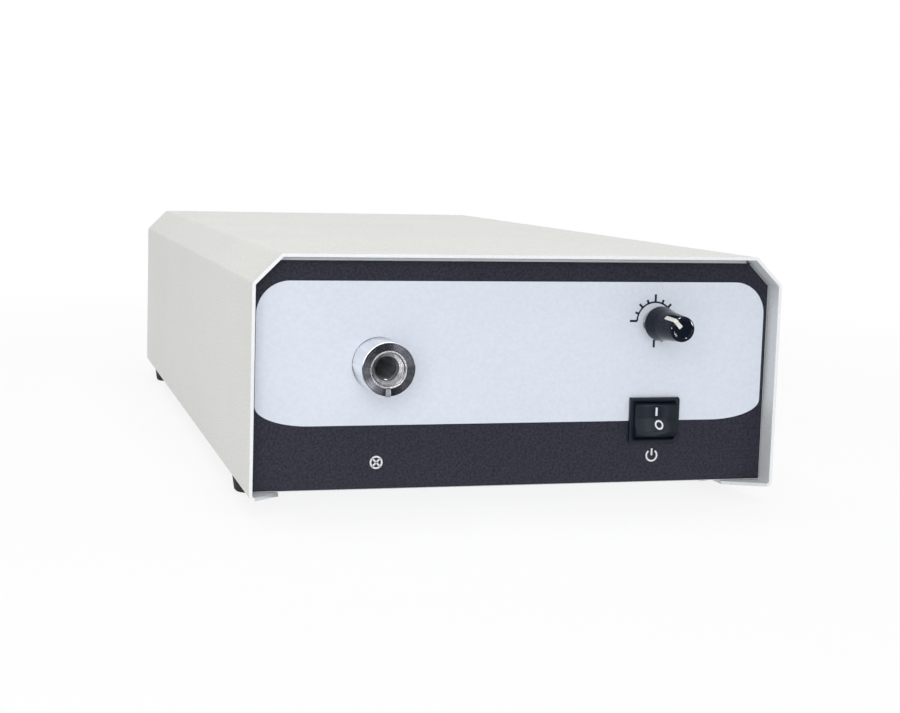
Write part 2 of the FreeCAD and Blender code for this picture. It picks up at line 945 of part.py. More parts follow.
def pot_nut():
    start = label_front - pot_washer_sheet - pot_nut_height
    body = hexagon("xz", (dimmer_x, dimmer_z), pot_nut_flats, start, pot_nut_height)
    bore = rod("xz", (dimmer_x, dimmer_z), bushing_radius + thread_gap, start, pot_nut_height)
    return body.cut(bore)


# ---------------------------------------------------------------------- power switch
def window_size():
    return (switch_body_width - 2 * switch_wall, switch_body_height - 2 * switch_wall)


def rocker_pivot():
    return V(switch_x, label_front - bezel_proud + rocker_pivot_depth, switch_z)


def switch_housing():
    bezel_front = label_front - bezel_proud
    bezel_size = (bezel_width, bezel_height)
    centre = (switch_x, switch_z)
    bezel = block("xz", centre, bezel_size, bezel_front, bezel_proud, 1.2)
    rim = [edge for edge in bezel.Edges if edge.BoundBox.YMax < bezel_front + 1e-3]
    bezel = bezel.makeFillet(0.6, rim)
    body_size = (switch_body_width, switch_body_height)
    body = block("xz", centre, body_size, label_front, switch_body_depth)
    housing = joined(bezel, body)
    depth = bezel_proud + switch_body_depth - 3.0
    well = block("xz", centre, window_size(), bezel_front, depth)
    pivot = rocker_pivot()
    bearing = rod(
        "yz",
        (pivot.y, pivot.z),
        rocker_pin_radius + 0.05,
        switch_x - switch_body_width / 2,
        switch_body_width,
    )
    return housing.cut([well, bearing] + switch_terminals().Solids)


def switch_rocker():
    """The rocker, its two faces a shallow valley, turned to its ON stop."""
    pivot = rocker_pivot()
    width, height = window_size()
    reach = height / 2 - rocker_gap
    top = math.sqrt(reach**2 - rocker_end_height**2)
    low = math.sqrt(reach**2 - rocker_skirt**2)
    valley = rocker_end_height - top * math.tan(math.radians(rocker_tilt))

    def point(w, h):
        return V(switch_x - width / 2 + rocker_gap, pivot.y - h, pivot.z + w)

    edges = [
        Part.Arc(point(low, -rocker_skirt), point(reach, 0), point(top, rocker_end_height)),
        Part.LineSegment(point(top, rocker_end_height), point(0, valley)),
        Part.LineSegment(point(0, valley), point(-top, rocker_end_height)),
        Part.Arc(point(-top, rocker_end_height), point(-reach, 0), point(-low, -rocker_skirt)),
        Part.LineSegment(point(-low, -rocker_skirt), point(low, -rocker_skirt)),
    ]
    profile = Part.Wire([edge.toShape() for edge in edges])
    rocker = Part.Face(profile).extrude(V(width - 2 * rocker_gap, 0, 0))
    crown = [
        edge
        for edge in rocker.Edges
        if edge.BoundBox.YMax < pivot.y - valley + 0.01 and edge.BoundBox.YLength < 0.01
    ]
    rocker = rocker.makeFillet(0.5, [edge for edge in crown if edge.BoundBox.ZLength < 0.01])
    pin_length = width + 2 * rocker_pin_reach
    pins = rod("yz", (pivot.y, pivot.z), rocker_pin_radius, switch_x - pin_length / 2, pin_length)
    rocker = joined(rocker, pins)
    rocker.rotate(pivot, V(1, 0, 0), -rocker_tilt)
    return rocker


def switch_terminals():
    start = label_front + switch_body_depth - tab_root
    length = tab_length + tab_root
    reach_x, reach_z = tab_pitch_x / 2, tab_pitch_z / 2
    places = [(switch_x + i * reach_x, switch_z + j * reach_z) for i in (-1, 1) for j in (-1, 1)]
    size = (tab_width, tab_thickness)
    return group([block("xz", place, size, start, length) for place in places])


# ------------------------------------------------------------------------------ lamp
def bracket_places():
    middle = filter_y + lamp_distance / 2
    return [(port_x - 20.0, middle), (port_x + 20.0, middle)]


def lamp_bracket():
    """A channel on the floor: its front wall holds the filter, its rear wall the lamp."""
    top = port_z + bracket_rise
    line = [
        (lamp_y + bracket_sheet, top),
        (lamp_y + bracket_sheet, floor_top),
        (filter_y, floor_top),
        (filter_y, top),
    ]
    start = port_x - bracket_width / 2
    channel = folded("yz", line, bracket_sheet, bend_inside, start, bracket_width)
    cuts = [
        rod("xz", (port_x, port_z), filter_opening, filter_y, bracket_sheet),
        rod("xz", (port_x, port_z), lamp_aperture_radius, lamp_y, bracket_sheet),
    ]
    cuts += [hole(M4, "xy", place, floor_top, bracket_sheet) for place in bracket_places()]
    cuts += [hole(M3, "xz", place, filter_y, bracket_sheet) for place in ring_screw_places()]
    return channel.cut(cuts)


def bracket_screws():
    """Two screws come up through the floor into nuts inside the channel."""
    length = tray_sheet + bracket_sheet + M4["nut"] + thread_end
    bases = [V(x, y, floor_under) for x, y in bracket_places()]
    return group([pan_screw(M4, base, V(0, 0, 1), length) for base in bases])


def ring_screw_places():
    reach = filter_ring_radius - 2.6
    angles = [math.radians(a) for a in (90, 210, 330)]
    return [(port_x + reach * math.cos(a), port_z + reach * math.sin(a)) for a in angles]


def filter_ring():
    """Clamps the heat filter against the front of the channel's front wall."""
    thickness = filter_glass + 1.5
    back = filter_y
    profile = [
        (filter_opening, 0),
        (filter_ring_radius, 0),
        (filter_ring_radius, thickness),
        (filter_radius + 0.1, thickness),
        (filter_radius + 0.1, 1.45),
        (filter_opening, 1.45),
    ]
    ring = turned(profile, V(port_x, back - thickness, port_z), V(0, 1, 0))
    cuts = [hole(M3, "xz", place, back - thickness, thickness) for place in ring_screw_places()]
    return ring.cut(cuts)


def heat_filter():
    return rod("xz", (port_x, port_z), filter_radius, filter_y - filter_glass, filter_glass)


def filter_screws():
    front = filter_y - filter_glass - 1.5
    length = filter_glass + 1.5 + bracket_sheet + M3["nut"] + thread_end
    bases = [V(x, front, z) for x, z in ring_screw_places()]
    return group([pan_screw(M3, base, V(0, 1, 0), length) for base in bases])


def lamp_reflector():
    """A dichroic mirror lamp: a flat rim, a curved bowl and a round neck."""
    wall = lamp_wall
    bowl = lamp_rim_radius - wall
    neck_end = lamp_depth + neck_length
    outer = [(bowl, lamp_rim), (lamp_neck_radius, lamp_depth)]
    inner = [(bowl - wall, 0), (lamp_neck_radius - wall, lamp_depth - wall)]
    outer_arc = Part.Arc(*bowl_points(outer))
    inner_arc = Part.Arc(*bowl_points(inner))
    corners = [
        inner[0],
        (lamp_rim_radius, 0),
        (lamp_rim_radius, lamp_rim),
        outer[0],
    ]
    neck = [
        outer[1],
        (lamp_neck_radius, neck_end),
        (lamp_neck_radius - wall, neck_end),
        inner[1],
    ]
    edges = [outer_arc.toShape(), inner_arc.toShape()]
    for line in (corners, neck):
        for (r0, s0), (r1, s1) in zip(line, line[1:]):
            edges.append(Part.LineSegment(V(r0, 0, s0), V(r1, 0, s1)).toShape())
    face = Part.Face(Part.Wire(Part.__sortEdges__(edges)))
    bowl = face.revolve(V(0, 0, 0), V(0, 0, 1), 360)
    turn = FreeCAD.Rotation(V(0, 0, 1), V(0, 1, 0))
    bowl.Placement = FreeCAD.Placement(V(port_x, lamp_seat, port_z), turn)
    return bowl


def bowl_points(ends):
    """Start, crown and end of a bowl's wall, a quarter of an ellipse seen in section."""
    (r0, s0), (r1, s1) = ends
    share = math.sqrt(0.5)
    return V(r0, 0, s0), V(r1 + (r0 - r1) * share, 0, s0 + (s1 - s0) * share), V(r1, 0, s1)


def lamp_bulb():
    """The quartz capsule, its pinch cemented in the neck."""
    start = lamp_seat + lamp_depth + pinch_sink - bulb_length
    end = lamp_seat + lamp_depth + neck_length
    shoulder = bulb_radius / 2
    profile = [
        (0, 0),
        (bulb_radius - shoulder, 0),
        (bulb_radius, shoulder),
        (bulb_radius, bulb_length - pinch_length),
        (shoulder, bulb_length - pinch_length + shoulder),
        (0, bulb_length - pinch_length + shoulder),
    ]
    glass = turned(profile, V(port_x, start, port_z), V(0, 1, 0))
    pinch_start = start + bulb_length - pinch_length
    pinch = block("xz", (port_x, port_z), pinch_size, pinch_start, end - pinch_start)
    cuts = [
        rod("xz", place, lamp_pin_radius, end - pin_sink, pin_sink) for place in lamp_pin_places()
    ]
    return joined(glass, pinch).cut(cuts)


def lamp_pin_places():
    return [(port_x + side * lamp_pin_spacing / 2, port_z) for side in (-1, 1)]


def lamp_pins():
    start = lamp_seat + lamp_depth + neck_length - pin_sink
    length = pin_sink + lamp_pin_length
    return group([rod("xz", p, lamp_pin_radius, start, length) for p in lamp_pin_places()])


def lamp_socket():
    """The ceramic holder pushed onto the lamp's two pins."""
    start = lamp_seat + lamp_depth + neck_length
    size = (socket_width, socket_height)
    body = block("xz", (port_x, port_z), size, start, socket_length, 2.0)
    bores = [
        rod("xz", p, lamp_pin_radius + thread_gap, start, lamp_pin_length + 0.5)
        for p in lamp_pin_places()
    ]
    return body.cut(bores)


def lamp_clips():
    """Two spot-welded spring straps that press the lamp's rim against the rear wall."""
    strip = 6.0
    spring_sheet = 0.6
    step = lamp_rim_radius + 0.3 + spring_sheet
    foot_face = lamp_seat + spring_sheet
    pad_face = lamp_seat + lamp_rim + thread_gap + spring_sheet
    line = [
        (foot_face, port_z + step + 7.0),
        (foot_face, port_z + step),
        (pad_face, port_z + step),
        (pad_face, port_z + lamp_rim_radius - 1.2),
    ]
    clips = []
    for angle in (-45, 45):
        clip = folded("yz", line, spring_sheet, 0.2, port_x - strip / 2, strip)
        clip.rotate(V(port_x, 0, port_z), V(0, 1, 0), angle)
        clips.append(clip)
    return group(clips)


# ----------------------------------------------------------------------- transformer
def toroid_base():
    return floor_top + pad_thickness


def transformer_toroid():
    wide, small = toroid_shoulder, toroid_hole_shoulder
    profile = [
        (toroid_hole + small, 0),
        (toroid_radius - wide, 0),
        (toroid_radius - wide / 4, wide / 4),
        (toroid_radius, wide),
        (toroid_radius, toroid_height - wide),
        (toroid_radius - wide / 4, toroid_height - wide / 4),
        (toroid_radius - wide, toroid_height),
        (toroid_hole + small, toroid_height),
        (toroid_hole, toroid_height - small),
        (toroid_hole, small),
    ]
    return turned(profile, V(toroid_x, toroid_y, toroid_base()), V(0, 0, 1))


def transformer_pads():
    """Two rubber discs, under and over the windings."""
    centre = (toroid_x, toroid_y)
    bore = M6["thread"] + screw_clearance
    low = tube("xy", centre, toroid_radius - dish_rim, bore, floor_top, pad_thickness)
    top = toroid_base() + toroid_height
    high = tube("xy", centre, dish_radius + dish_rim, bore, top, pad_thickness)
    return group([low, high])


def dish_floor():
    return toroid_base() + toroid_height + pad_thickness


def transformer_dish():
    """The dished steel plate that clamps the toroid down, its middle pressed low."""
    bore = M6["thread"] + screw_clearance
    profile = [
        (bore, 0),
        (dish_radius - dish_rim, 0),
        (dish_radius, dish_rise),
        (dish_radius, dish_rise + dish_sheet),
        (dish_radius - dish_rim, dish_sheet),
        (bore, dish_sheet),
    ]
    base = V(toroid_x, toroid_y, dish_floor())
    return turned(profile, base, V(0, 0, 1))


def transformer_bolt():
    head = hexagon(
        "xy", (toroid_x, toroid_y), M6["flats"], floor_under - M6["head_height"], M6["head_height"]
    )
    length = dish_floor() + dish_sheet + M6["nut"] + 2.0 - floor_under
    return joined(head, rod("xy", (toroid_x, toroid_y), M6["thread"], floor_under, length))


def transformer_nut():
    return nut(M6, "xy", (toroid_x, toroid_y), dish_floor() + dish_sheet)


# --------------------------------------------------------------------- control board
def board_places():
    reach_x = board_width / 2 - board_hole_inset
    reach_y = board_depth / 2 - board_hole_inset
    return [(board_x + i * reach_x, board_y + j * reach_y) for i in (-1, 1) for j in (-1, 1)]


def control_board():
    board = block("xy", (board_x, board_y), (board_width, board_depth), board_z, board_sheet, 2.0)
    return board.cut([hole(M3, "xy", place, board_z, board_sheet) for place in board_places()])


def board_standoffs():
    """Hexagon pillars, each with a stud through the floor's hole."""
    pillars = []
    for place in board_places():
        pillar = hexagon("xy", place, standoff_flats, floor_top, board_standoff)
        stud = rod("xy", place, M3["thread"], floor_under, tray_sheet)
        bore = rod("xy", place, M3["thread"] + thread_gap, board_z - 6, 6)
        pillars.append(joined(pillar, stud).cut(bore))
    return group(pillars)


def board_screws():
    bases = [V(x, y, board_top) for x, y in board_places()]
    return group([pan_screw(M3, base, V(0, 0, -1), board_sheet + 5.0) for base in bases])


def on_board(place):
    return (board_x + place[0], board_y + place[1])


def heat_sink():
    """An extruded sink: a wall with a comb of fins behind it."""
    x, y = on_board(sink_place)
    wall = block("xy", (x, y), (sink_width, sink_wall), board_top, sink_height)
    fin_y = y + sink_wall / 2 + fin_length / 2
    fins = []
    for i in range(fin_count):
        fin_x = x + (i - (fin_count - 1) / 2) * fin_pitch
        fins.append(block("xy", (fin_x, fin_y), (fin_sheet, fin_length), board_top, sink_height))
    return joined(wall, *fins)


def triac():
    """A three-leg power device bolted to the front of the sink."""
    width, tab_height, tab_sheet = 10.0, 16.0, 1.3
    case_height, case_sheet = 9.0, 3.1
    leg_width, leg_sheet, leg_pitch = 0.9, 0.6, 2.5
    leg_height = 8.0
    x, sink_y = on_board(sink_place)
    face = sink_y - sink_wall / 2
    tab_z = board_top + leg_height + tab_height / 2
    tab = block("xz", (x, tab_z), (width, tab_height), face - tab_sheet, tab_sheet)
    case_z = board_top + leg_height + case_height / 2
    front = face - tab_sheet - case_sheet
    case = block("xz", (x, case_z), (width, case_height), front, case_sheet)
    leg_z = board_top + leg_height / 2
    legs = [
        block("xz", (x + i * leg_pitch, leg_z), (leg_width, leg_height), front + 1.0, leg_sheet)
        for i in (-1, 0, 1)
    ]
    return joined(tab, case, *legs)


def capacitors():
    """A film capacitor block and two electrolytics."""
    film = block("xy", on_board(film_place), film_size, board_top, film_height, 1.5)
    profile = [
        (0, 0),
        (can_radius, 0),
        (can_radius, can_height - can_chamfer),
        (can_radius - can_chamfer, can_height),
        (0, can_height),
    ]
    cans = [turned(profile, V(*on_board(place), board_top), V(0, 0, 1)) for place in can_places]
    return group([film] + cans)


def entry_x(way):
    return on_board(block_place)[0] + (way - (block_ways - 1) / 2) * block_pitch


def terminal_block():
    """A four-way screw block, open at the front for its wires."""
    x, y = on_board(block_place)
    body = block("xy", (x, y), (block_ways * block_pitch, block_depth), board_top, block_height)
    front = y - block_depth / 2
    well_radius, well_depth = 2.0, 6.0
    cuts = []
    for way in range(block_ways):
        entry = (entry_x(way), board_top + entry_height)
        cuts.append(block("xz", entry, (entry_size, entry_size), front, entry_depth))
        well = (entry_x(way), y - 1)
        cuts.append(rod("xy", well, well_radius, board_top + block_height - well_depth, well_depth))
    return body.cut(cuts)


def choke():
    """A ferrite ring choke standing on edge."""
    x, y = on_board(choke_place)
    centre = (x, board_top + choke_radius)
    return tube("xz", centre, choke_radius, choke_bore, y - choke_width / 2, choke_width)


# ------------------------------------------------------------------------------- fan
def fan_screw_places():
    half = fan_hole_spacing / 2
    return [(fan_x + i * half, fan_z + j * half) for i in (-1, 1) for j in (-1, 1)]


def fan_frame():
    front = rear_inside - fan_depth
    centre = (fan_x, fan_z)
    body = block("xz", centre, (fan_size, fan_size), front, fan_depth, fan_corner)
    body = body.cut(rod("xz", centre, fan_duct_radius, front, fan_depth))
    boss = rod("xz", centre, fan_boss_radius, rear_inside - fan_boss, fan_boss)
    arm_length = 2 * (fan_duct_radius + fan_duct_wall / 2)
    arms = [
        block("xz", centre, size, rear_inside - fan_arm_sheet, fan_arm_sheet)
        for size in ((arm_length, fan_arm), (fan_arm, arm_length))
    ]
    for arm in arms:
        arm.rotate(V(fan_x, 0, fan_z), V(0, 1, 0), fan_arm_turn)
    frame = joined(body, boss, *arms)
    bore_depth = fan_boss - fan_axle_end
    bore = rod("xz", centre, fan_axle_radius + fan_axle_gap, rear_inside - fan_boss, bore_depth)
    cuts = [hole(M4, "xz", place, front, fan_depth) for place in fan_screw_places()]
    return frame.cut([bore] + cuts)


def fan_rotor():
    """The hub, its axle and seven twisted blades."""
    front = rear_inside - fan_depth + fan_front_gap
    back = rear_inside - fan_boss - fan_end_gap
    centre = (fan_x, fan_z)
    hub = rod("xz", centre, fan_hub_radius, front, back - front)
    rim = [edge for edge in hub.Edges if edge.BoundBox.YMax < front + 1e-3]
    hub = hub.makeChamfer(hub_edge, rim)
    axle_end = rear_inside - fan_axle_end - running_gap
    axle = rod("xz", centre, fan_axle_radius, back - 1, axle_end - back + 1)
    blades = []
    tips = rod("xz", centre, fan_duct_radius - fan_tip_gap, front, back - front)
    for i in range(blade_count):
        blade = fan_blade((front + back) / 2).common(tips)
        blade.rotate(V(fan_x, 0, fan_z), V(0, 1, 0), 360.0 * i / blade_count)
        blades.append(blade)
    return joined(hub, axle, *blades)


def fan_blade(middle):
    """A blade lofted from a steep root to a flatter tip."""
    sections = []
    stations = (
        (fan_hub_radius - 2.0, 14.0, 42.0),
        ((fan_hub_radius + fan_duct_radius) / 2, 20.0, 52.0),
        (fan_duct_radius, 24.0, 60.0),
    )
    for radius, chord, pitch in stations:
        lean = math.radians(pitch)
        along = (math.sin(lean), math.cos(lean))
        across = (math.cos(lean), -math.sin(lean))
        corners = []
        for i, j in ((-1, -1), (1, -1), (1, 1), (-1, 1)):
            x = i * chord / 2 * along[0] + j * blade_sheet / 2 * across[0]
            y = i * chord / 2 * along[1] + j * blade_sheet / 2 * across[1]
            corners.append(V(fan_x + x, middle + y, fan_z + radius))
        sections.append(Part.makePolygon(corners + corners[:1]))
    return Part.makeLoft(sections, True, True)


def fan_screws():
    length = panel_sheet + fan_depth + M4["nut"] + thread_end
    bases = [V(x, rear_outside, z) for x, z in fan_screw_places()]
    return group([pan_screw(M4, base, V(0, -1, 0), length) for base in bases])


# ----------------------------------------------------------------------- mains inlet
def inlet_screw_places():
    return [(inlet_x + side * 20.0, inlet_z) for side in (-1, 1)]


def pin_places():
    """Line and neutral side by side, and earth above them between the two."""
    z = inlet_z + socket_offset
    return [(inlet_x - 7.0, z - 2.0), (inlet_x + 7.0, z - 2.0), (inlet_x, z + 2.0)]


def inlet_face():
    return rear_outside + inlet_flange


def inlet_body():
    centre = (inlet_x, inlet_z)
    half_w, half_h = inlet_flange_width / 2, inlet_flange_height / 2
    ear = 7.0
    outline = [
        (inlet_x - half_w, inlet_z - ear),
        (inlet_x - half_w + 9, inlet_z - half_h),
        (inlet_x + half_w - 9, inlet_z - half_h),
        (inlet_x + half_w, inlet_z - ear),
        (inlet_x + half_w, inlet_z + ear),
        (inlet_x + half_w - 9, inlet_z + half_h),
        (inlet_x - half_w + 9, inlet_z + half_h),
        (inlet_x - half_w, inlet_z + ear),
    ]
    flange = prism("xz", outline, rear_outside, inlet_flange, 2.0)
    size = (inlet_body_width, inlet_body_height)
    back = inlet_face() - inlet_body_depth
    body = block("xz", centre, size, back, inlet_body_depth - inlet_flange)
    inlet = joined(flange, body)
    half_x, half_z = socket_opening_width / 2, socket_opening_height / 2
    z = inlet_z + socket_offset
    key = 5.0
    opening = [
        (inlet_x - half_x, z - half_z),
        (inlet_x + half_x, z - half_z),
        (inlet_x + half_x, z + half_z - key),
        (inlet_x + half_x - key, z + half_z),
        (inlet_x - half_x + key, z + half_z),
        (inlet_x - half_x, z + half_z - key),
    ]
    start = inlet_face() - socket_opening_depth
    cuts = [prism("xz", opening, start, socket_opening_depth)]
    drawer_size = (drawer_width + 2 * drawer_gap, drawer_height + 2 * drawer_gap)
    drawer_place = (inlet_x, inlet_z + drawer_offset)
    cuts.append(block("xz", drawer_place, drawer_size, back + 1.2, inlet_body_depth))
    cuts += [hole(M3, "xz", place, rear_outside, inlet_flange) for place in inlet_screw_places()]
    cuts += inlet_pins().Solids
    return inlet.cut(cuts)


def inlet_pins():
    """Three blades: contacts in the socket and solder tabs behind."""
    tip = inlet_face() - 3.0
    back = inlet_face() - inlet_body_depth - tab_length
    shapes = [block("xz", place, (2.0, 4.0), back, tip - back) for place in pin_places()]
    return group(shapes)


def drawer_places():
    return [(inlet_x + side * 3.6, inlet_z + drawer_offset) for side in (-1, 1)]


def fuse_drawer():
    """The sliding tray behind the small pull, with two troughs for fuses."""
    place = (inlet_x, inlet_z + drawer_offset)
    face = inlet_face()
    body = block("xz", place, (drawer_width, drawer_height), face - drawer_length, drawer_length)
    pull = block("xz", place, (drawer_width + 3.0, drawer_height + 1.6), face, 1.6, 1.0)
    notch = block("xz", (place[0], place[1] + drawer_height / 2 + 0.8), (8.0, 1.6), face, 1.6)
    drawer = joined(body, pull.cut(notch))
    trough = drawer_height - 2 * drawer_wall
    back = face - drawer_length + 2.0
    cuts = []
    for x, z in drawer_places():
        cuts.append(rod("xz", (x, z), fuse_radius + 0.1, back, fuse_length + 0.4))
        size = (2 * fuse_radius + 0.2, drawer_height)
        cuts.append(block("xz", (x, z + drawer_height / 2), size, back, fuse_length + 0.4))
    return drawer.cut(cuts)


def fuse_start():
    return inlet_face() - drawer_length + 2.2


def fuse_glass():
    """The glass tubes of the fuse in use and the spare."""
    shapes = []
    for place in drawer_places():
        start = fuse_start() + fuse_cap
        shapes.append(rod("xz", place, fuse_radius - 0.2, start, fuse_length - 2 * fuse_cap))
    return group(shapes)


def fuse_caps():
    shapes = []
    for place in drawer_places():
        for start in (fuse_start(), fuse_start() + fuse_length - fuse_cap):
            shapes.append(rod("xz", place, fuse_radius, start, fuse_cap))
    return group(shapes)


def inlet_screws():
    length = inlet_flange + panel_sheet + M3["nut"] + thread_end
    bases = [V(x, inlet_face(), z) for x, z in inlet_screw_places()]
    return group([pan_screw(M3, base, V(0, -1, 0), length) for base in bases])


# ---------------------------------------------------------------------------- wiring
def wire(points, radius):
    """A round wire: straight runs joined by tangent arcs, as large as the runs allow."""
    corners = [V(*point) for point in points]
    edges = []
    start = corners[0]
    for before, corner, after in zip(corners, corners[1:], corners[2:]):
        back = before - corner
        ahead = after - corner
        reach = bend_share * min(back.Length, ahead.Length)
        back.normalize()
        ahead.normalize()
        inward = back + ahead
        inward.normalize()
        half = back.getAngle(ahead) / 2
        crown = corner + inward * (reach / math.cos(half) - reach * math.tan(half))
        bend = (corner + back * reach, crown, corner + ahead * reach)
        edges.append(Part.LineSegment(start, bend[0]).toShape())
        edges.append(Part.Arc(*bend).toShape())
        start = bend[2]
    edges.append(Part.LineSegment(start, corners[-1]).toShape())
    circle = Part.makeCircle(radius, corners[0], corners[1] - corners[0])
    return Part.Wire(edges).makePipe(Part.Face(Part.Wire([circle])))


def wiring():
    return group(mains_wires() + lamp_leads() + primary_leads() + fan_leads() + dimmer_leads())


def mains_wires():
    """Line and neutral go along the right wall to the switch, earth to the floor's stud."""
    pin_y = inlet_face() - inlet_body_depth - tab_length
    (neutral_x, low), (line_x, _), (earth_x, high) = pin_places()
    tab_y = label_front + switch_body_depth + tab_length
    left, right = switch_x - tab_pitch_x / 2, switch_x + tab_pitch_x / 2
    lower, upper = switch_z - tab_pitch_z / 2, switch_z + tab_pitch_z / 2
    outer = inner_half - 8.5
    inner = toroid_x + toroid_radius + 4.0
    line = [
        (line_x, pin_y, low),
        (line_x, pin_y - 19.5, low),
        (outer, toroid_y + 95, 34),
        (outer + 2, toroid_y + 40, 28),
        (outer, toroid_y - 40, 31),
        (outer + 2, toroid_y - 120, 28),
        (outer, board_y - 40, 34),
        (right, tab_y + 20, upper),
        (right, tab_y, upper),
    ]
    neutral = [
        (neutral_x, pin_y, low),
        (neutral_x, pin_y - 22.5, low),
        (inner, toroid_y + 90, 34),
        (inner - 0.5, toroid_y + 30, 29),
        (inner + 0.5, toroid_y - 50, 32),
        (inner - 0.5, toroid_y - 120, 29),
        (inner, board_y - 35, 34),
        (left, tab_y + 20, upper),
        (left, tab_y, upper),
    ]
    stud_x, stud_y = earth_place()
    tail = floor_top + earth_head + tag_sheet / 2
    earth = [
        (earth_x, pin_y, high),
        (earth_x, pin_y - 14.5, high),
        (earth_x - 7, pin_y - 23.5, 44),
        (stud_x + 9, stud_y - 37.5, 20),
        (stud_x, stud_y - 31.5, tail),
        (stud_x, stud_y - tag_length, tail),
    ]
    entry_y = on_board(block_place)[1] - block_depth / 2 + entry_depth
    entry_z = board_top + entry_height
    switched = []
    for way, x in ((0, left), (1, right)):
        switched.append([
            (x, tab_y, lower),
            (x, tab_y + 18, lower),
            (entry_x(way), entry_y - 19, entry_z),
            (entry_x(way), entry_y, entry_z),
        ])
    return [wire(route, mains_wire) for route in [line, neutral, earth] + switched]


def toroid_exit(degrees, reach):
    """A point reach outside the winding, level with its middle."""
    angle = math.radians(degrees)
    far = toroid_radius + reach
    x = toroid_x + far * math.cos(angle)
    y = toroid_y + far * math.sin(angle)
    return (x, y, toroid_base() + toroid_height / 2)


def lamp_leads():
    """The two heavy leads from the winding to the lamp's socket."""
    socket_y = lamp_seat + lamp_depth + neck_length + socket_length
    routes = []
    for side, degrees, low in ((-1, 200, (-34, 10)), (1, 207, (-27, 3))):
        x = port_x + side * 5
        routes.append([
            toroid_exit(degrees, 0),
            toroid_exit(degrees, 16),
            (low[0], low[1], 18),
            (x + 11, socket_y + 60, 24),
            (x, socket_y + 21.5, port_z),
            (x, socket_y, port_z),
        ])
    return [wire(route, lamp_wire) for route in routes]


def primary_leads():
    """The winding's two mains leads, soldered to the back of the board."""
    routes = []
    for degrees, x in ((-105, 46), (-112, 40)):
        y = board_y + board_depth / 2 - 5
        routes.append([
            toroid_exit(degrees, 0),
            toroid_exit(degrees, 14),
            (x, y + 26, 40),
            (x, y, 38),
            (x, y, board_top),
        ])
    return [wire(route, lead_wire) for route in routes]


def fan_leads():
    """The fan's two leads lie along the floor and are soldered to the board."""
    side = fan_x + fan_size / 2
    y = rear_inside - fan_depth / 2
    board_rear = board_y + board_depth / 2
    floor = floor_top + running_gap + signal_wire
    routes = []
    for i in (0, 1):
        z = fan_z - fan_lead_drop - i * fan_lead_pitch
        shift = i * fan_lead_pitch
        routes.append([
            (side, y, z),
            (side + 10, y, z),
            (side + 18 - shift, y - 22, 20 - shift),
            (side + 20 - shift, toroid_y + 60, floor),
            (side + 19 - shift, toroid_y - 40, floor),
            (2 - shift, board_rear + 26, 20),
            (18 - shift, board_rear - 6, 34),
            (18 - shift, board_rear - 6, board_top),
        ])
    return [wire(route, signal_wire) for route in routes]


def dimmer_leads():
    """Three thin wires from the potentiometer's lugs to the front of the board."""
    routes = []
    for i, lug in enumerate(lug_places()):
        x = 42 + 4 * i
        y = board_y - 24
        routes.append([
            (lug.x, lug.y, lug.z),
            (lug.x, lug.y, lug.z - 11),
            ((lug.x + x) / 2, lug.y + 26, 55),
            (x, y, 50),
            (x, y, board_top),
        ])
    return [wire(route, signal_wire) for route in routes]


# ------------------------------------------------------------------------------ nuts
def m4_nuts():
    """On the feet's screws, the panels' studs and screws, the fan, the lamp and earth."""
    nuts = [nut(M4, "xy", place, floor_top) for place in foot_places]
    nuts += [nut(M4, "xy", place, floor_top + bracket_sheet) for place in bracket_places()]
    nuts.append(nut(M4, "xy", earth_place(), earth_nut_seat))
    fan_front = rear_inside - fan_depth
    nuts += [nut(M4, "xz", place, fan_front - M4["nut"]) for place in fan_screw_places()]
    for x in panel_bolts_x:
        place = (x, panel_bolt_height)
        nuts.append(nut(M4, "xz", place, panel_back + tray_sheet))
        nuts.append(nut(M4, "xz", place, rear_inside - tray_sheet - M4["nut"]))
    return group(nuts)


def m3_nuts():
    """Behind the heat filter's ring and the mains inlet."""
    nuts = [nut(M3, "xz", place, filter_y + bracket_sheet) for place in ring_screw_places()]
    nuts += [nut(M3, "xz", place, rear_inside - M3["nut"]) for place in inlet_screw_places()]
    return group(nuts)


# ----------------------------------------------------------------------------- nodes
NODES = [
    wrap_cover, base_tray, front_panel, front_label, rear_panel,
    feet, foot_screws, rear_panel_screws, m4_nuts, m3_nuts, earth_stud, earth_tag,
    port_body, port_sleeve, port_nut, detent_ball, detent_spring, detent_grub_screw,
    dimmer_knob, knob_pointer, pot_shaft, pot_body, pot_washer, pot_nut,
    switch_housing, switch_rocker, switch_terminals,
    lamp_bracket, bracket_screws, filter_ring, heat_filter, filter_screws,
    lamp_reflector, lamp_bulb, lamp_pins, lamp_socket, lamp_clips,
    transformer_toroid, transformer_pads, transformer_dish, transformer_bolt, transformer_nut,
    control_board, board_standoffs, board_screws, heat_sink, triac, capacitors,
    terminal_block, choke,
    fan_frame, fan_rotor, fan_screws,
    inlet_body, inlet_pins, fuse_drawer, fuse_glass, fuse_caps, inlet_screws,
    wiring,
]

os.makedirs("parts", exist_ok=True)
for make in NODES:
    shape = make()
    shape.exportStep("parts/" + make.__name__ + ".step")
print(len(NODES), "nodes written")
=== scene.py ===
# %% [markdown]
# # A fibre optic illuminator: the looks
#
# The steel case, its front panel and all that is inside come from the CAD frame with their shapes
# finished. This lesson gives each of them the surface of the real thing and adds what is too fine
# for a construction model: the print on the front label, the dial, the marks on the switch and the
# cross recesses in the screws. Lengths are in metres, +Z is up, and the front of the object looks
# along -Y.

# %% Load the frame
import json
import math

import bmesh
import bpy
from mathutils import Matrix, Vector
from mathutils.bvhtree import BVHTree


